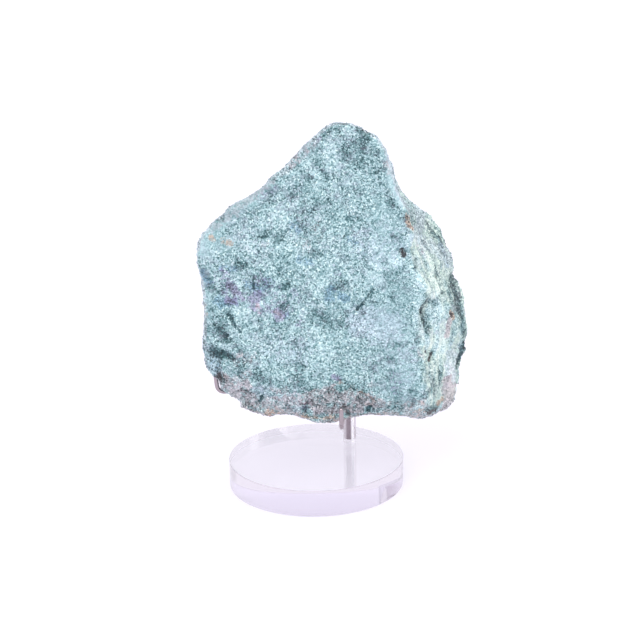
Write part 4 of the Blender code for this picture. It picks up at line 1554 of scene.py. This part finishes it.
# --- the studio --------------------------------------------------------------------------
@dataclass(frozen=True)
class Softbox:
    """A broad distant light.

    Attributes:
        name: What it is for.
        azimuth: Where it stands, in degrees from the viewer's side round to the right.
        elevation: Its height above the floor, in degrees.
        strength: How bright it is, in watts a square metre.
        spread: How wide it looks from the stone, in degrees.
    """

    name: str
    azimuth: float
    elevation: float
    strength: float
    spread: float

    def place(self) -> None:
        """Adds the light to the scene."""
        light = bpy.data.lights.new(self.name, "SUN")
        light.energy = self.strength
        light.angle = math.radians(self.spread)
        lamp = bpy.data.objects.new(self.name, light)
        turn, lift = math.radians(self.azimuth), math.radians(self.elevation)
        level = math.cos(lift)
        towards = Vector((math.sin(turn) * level, -math.cos(turn) * level, math.sin(lift)))
        lamp.rotation_euler = towards.to_track_quat("Z", "Y").to_euler()
        bpy.context.scene.collection.objects.link(lamp)


@dataclass
class Studio:
    """A white sweep, soft light and the camera.

    Attributes:
        floor_drop_mm: How far the floor is under the disc, so that light passes between.
        surround: How bright the surround is.
        surround_tone: Its colour as a light; where it is seen, it is white.
    """

    floor_size: float = 60.0
    floor_drop_mm: float = 0.3
    surround: float = 1.05
    surround_tone: Colour = (0.97, 0.94, 1.0)
    softboxes: tuple[Softbox, ...] = (
        Softbox("key_softbox", -30.0, 52.0, 1.2, 40.0),
        Softbox("right_softbox", 70.0, 35.0, 0.5, 60.0),
    )
    pitch_deg: float = 16.43
    roll_deg: float = -1.03
    lens_mm: float = 70.61
    sensor_mm: float = 36.0

    def build(self) -> None:
        """Builds the floor, the lights, the surround and the camera."""
        self._floor()
        for softbox in self.softboxes:
            softbox.place()
        self._surround()
        self._camera()
        bpy.context.scene.view_settings.view_transform = "Standard"

    def _floor(self) -> None:
        """Lays the floor."""
        form = bmesh.new()
        level = Matrix.Translation((0.0, 0.0, -self.floor_drop_mm * MM))
        size = self.floor_size / 2
        bmesh.ops.create_grid(form, x_segments=1, y_segments=1, size=size, matrix=level)
        name = "studio_floor"
        shown(name, to_mesh(form, name), PaperFloorFinish().make())

    def _surround(self) -> None:
        """Makes the surround."""
        world = bpy.data.worlds.new("studio")
        bpy.context.scene.world = world
        world.use_nodes = True
        board = Board(world.node_tree)
        seen = board.add("ShaderNodeLightPath").outputs["Is Camera Ray"]
        tone = board.mix(seen, self.surround_tone, (1.0, 1.0, 1.0))
        glow = board.add("ShaderNodeBackground", {"Color": tone, "Strength": self.surround})
        board.add("ShaderNodeOutputWorld", {"Surface": glow.outputs[0]})

    def _camera(self) -> None:
        """Sets the camera."""
        lens = bpy.data.cameras.new("camera")
        lens.lens = self.lens_mm
        lens.sensor_width = self.sensor_mm
        lens.clip_end = self.floor_size
        camera = bpy.data.objects.new("camera", lens)
        tilt = Matrix.Rotation(math.radians(90.0 - self.pitch_deg), 4, "X")
        roll = Matrix.Rotation(math.radians(self.roll_deg), 4, "Z")
        camera.matrix_world = Matrix.Translation(VIEWER) @ tilt @ roll
        bpy.context.scene.collection.objects.link(camera)
        bpy.context.scene.camera = camera


def report(piece: Object) -> None:
    """Logs a finished piece's name and size."""
    triangles = sum(len(face.vertices) - 2 for face in piece.data.polygons)
    log.info("%s: %d triangles", piece.name, triangles)


def main() -> None:
    """Builds every sub-assembly in order."""
    logging.basicConfig(level=logging.INFO, format="%(name)s %(message)s")
    Studio().build()
    stone = FuchsiteStone()
    slab = stone.build()
    report(slab)
    for piece in MicaFlakes(slab, stone.surface, stone.clear_of_metal).build():
        report(piece)
    report(AcrylicDisc().build())
    report(SupportPost().build())
    for node, name in (("front_prong", "front_wire"), ("left_prong", "left_wire")):
        report(ProngWire(node, name, SteelFinish(name=f"{name}_steel")).build())


if __name__ == "__main__":
    main()
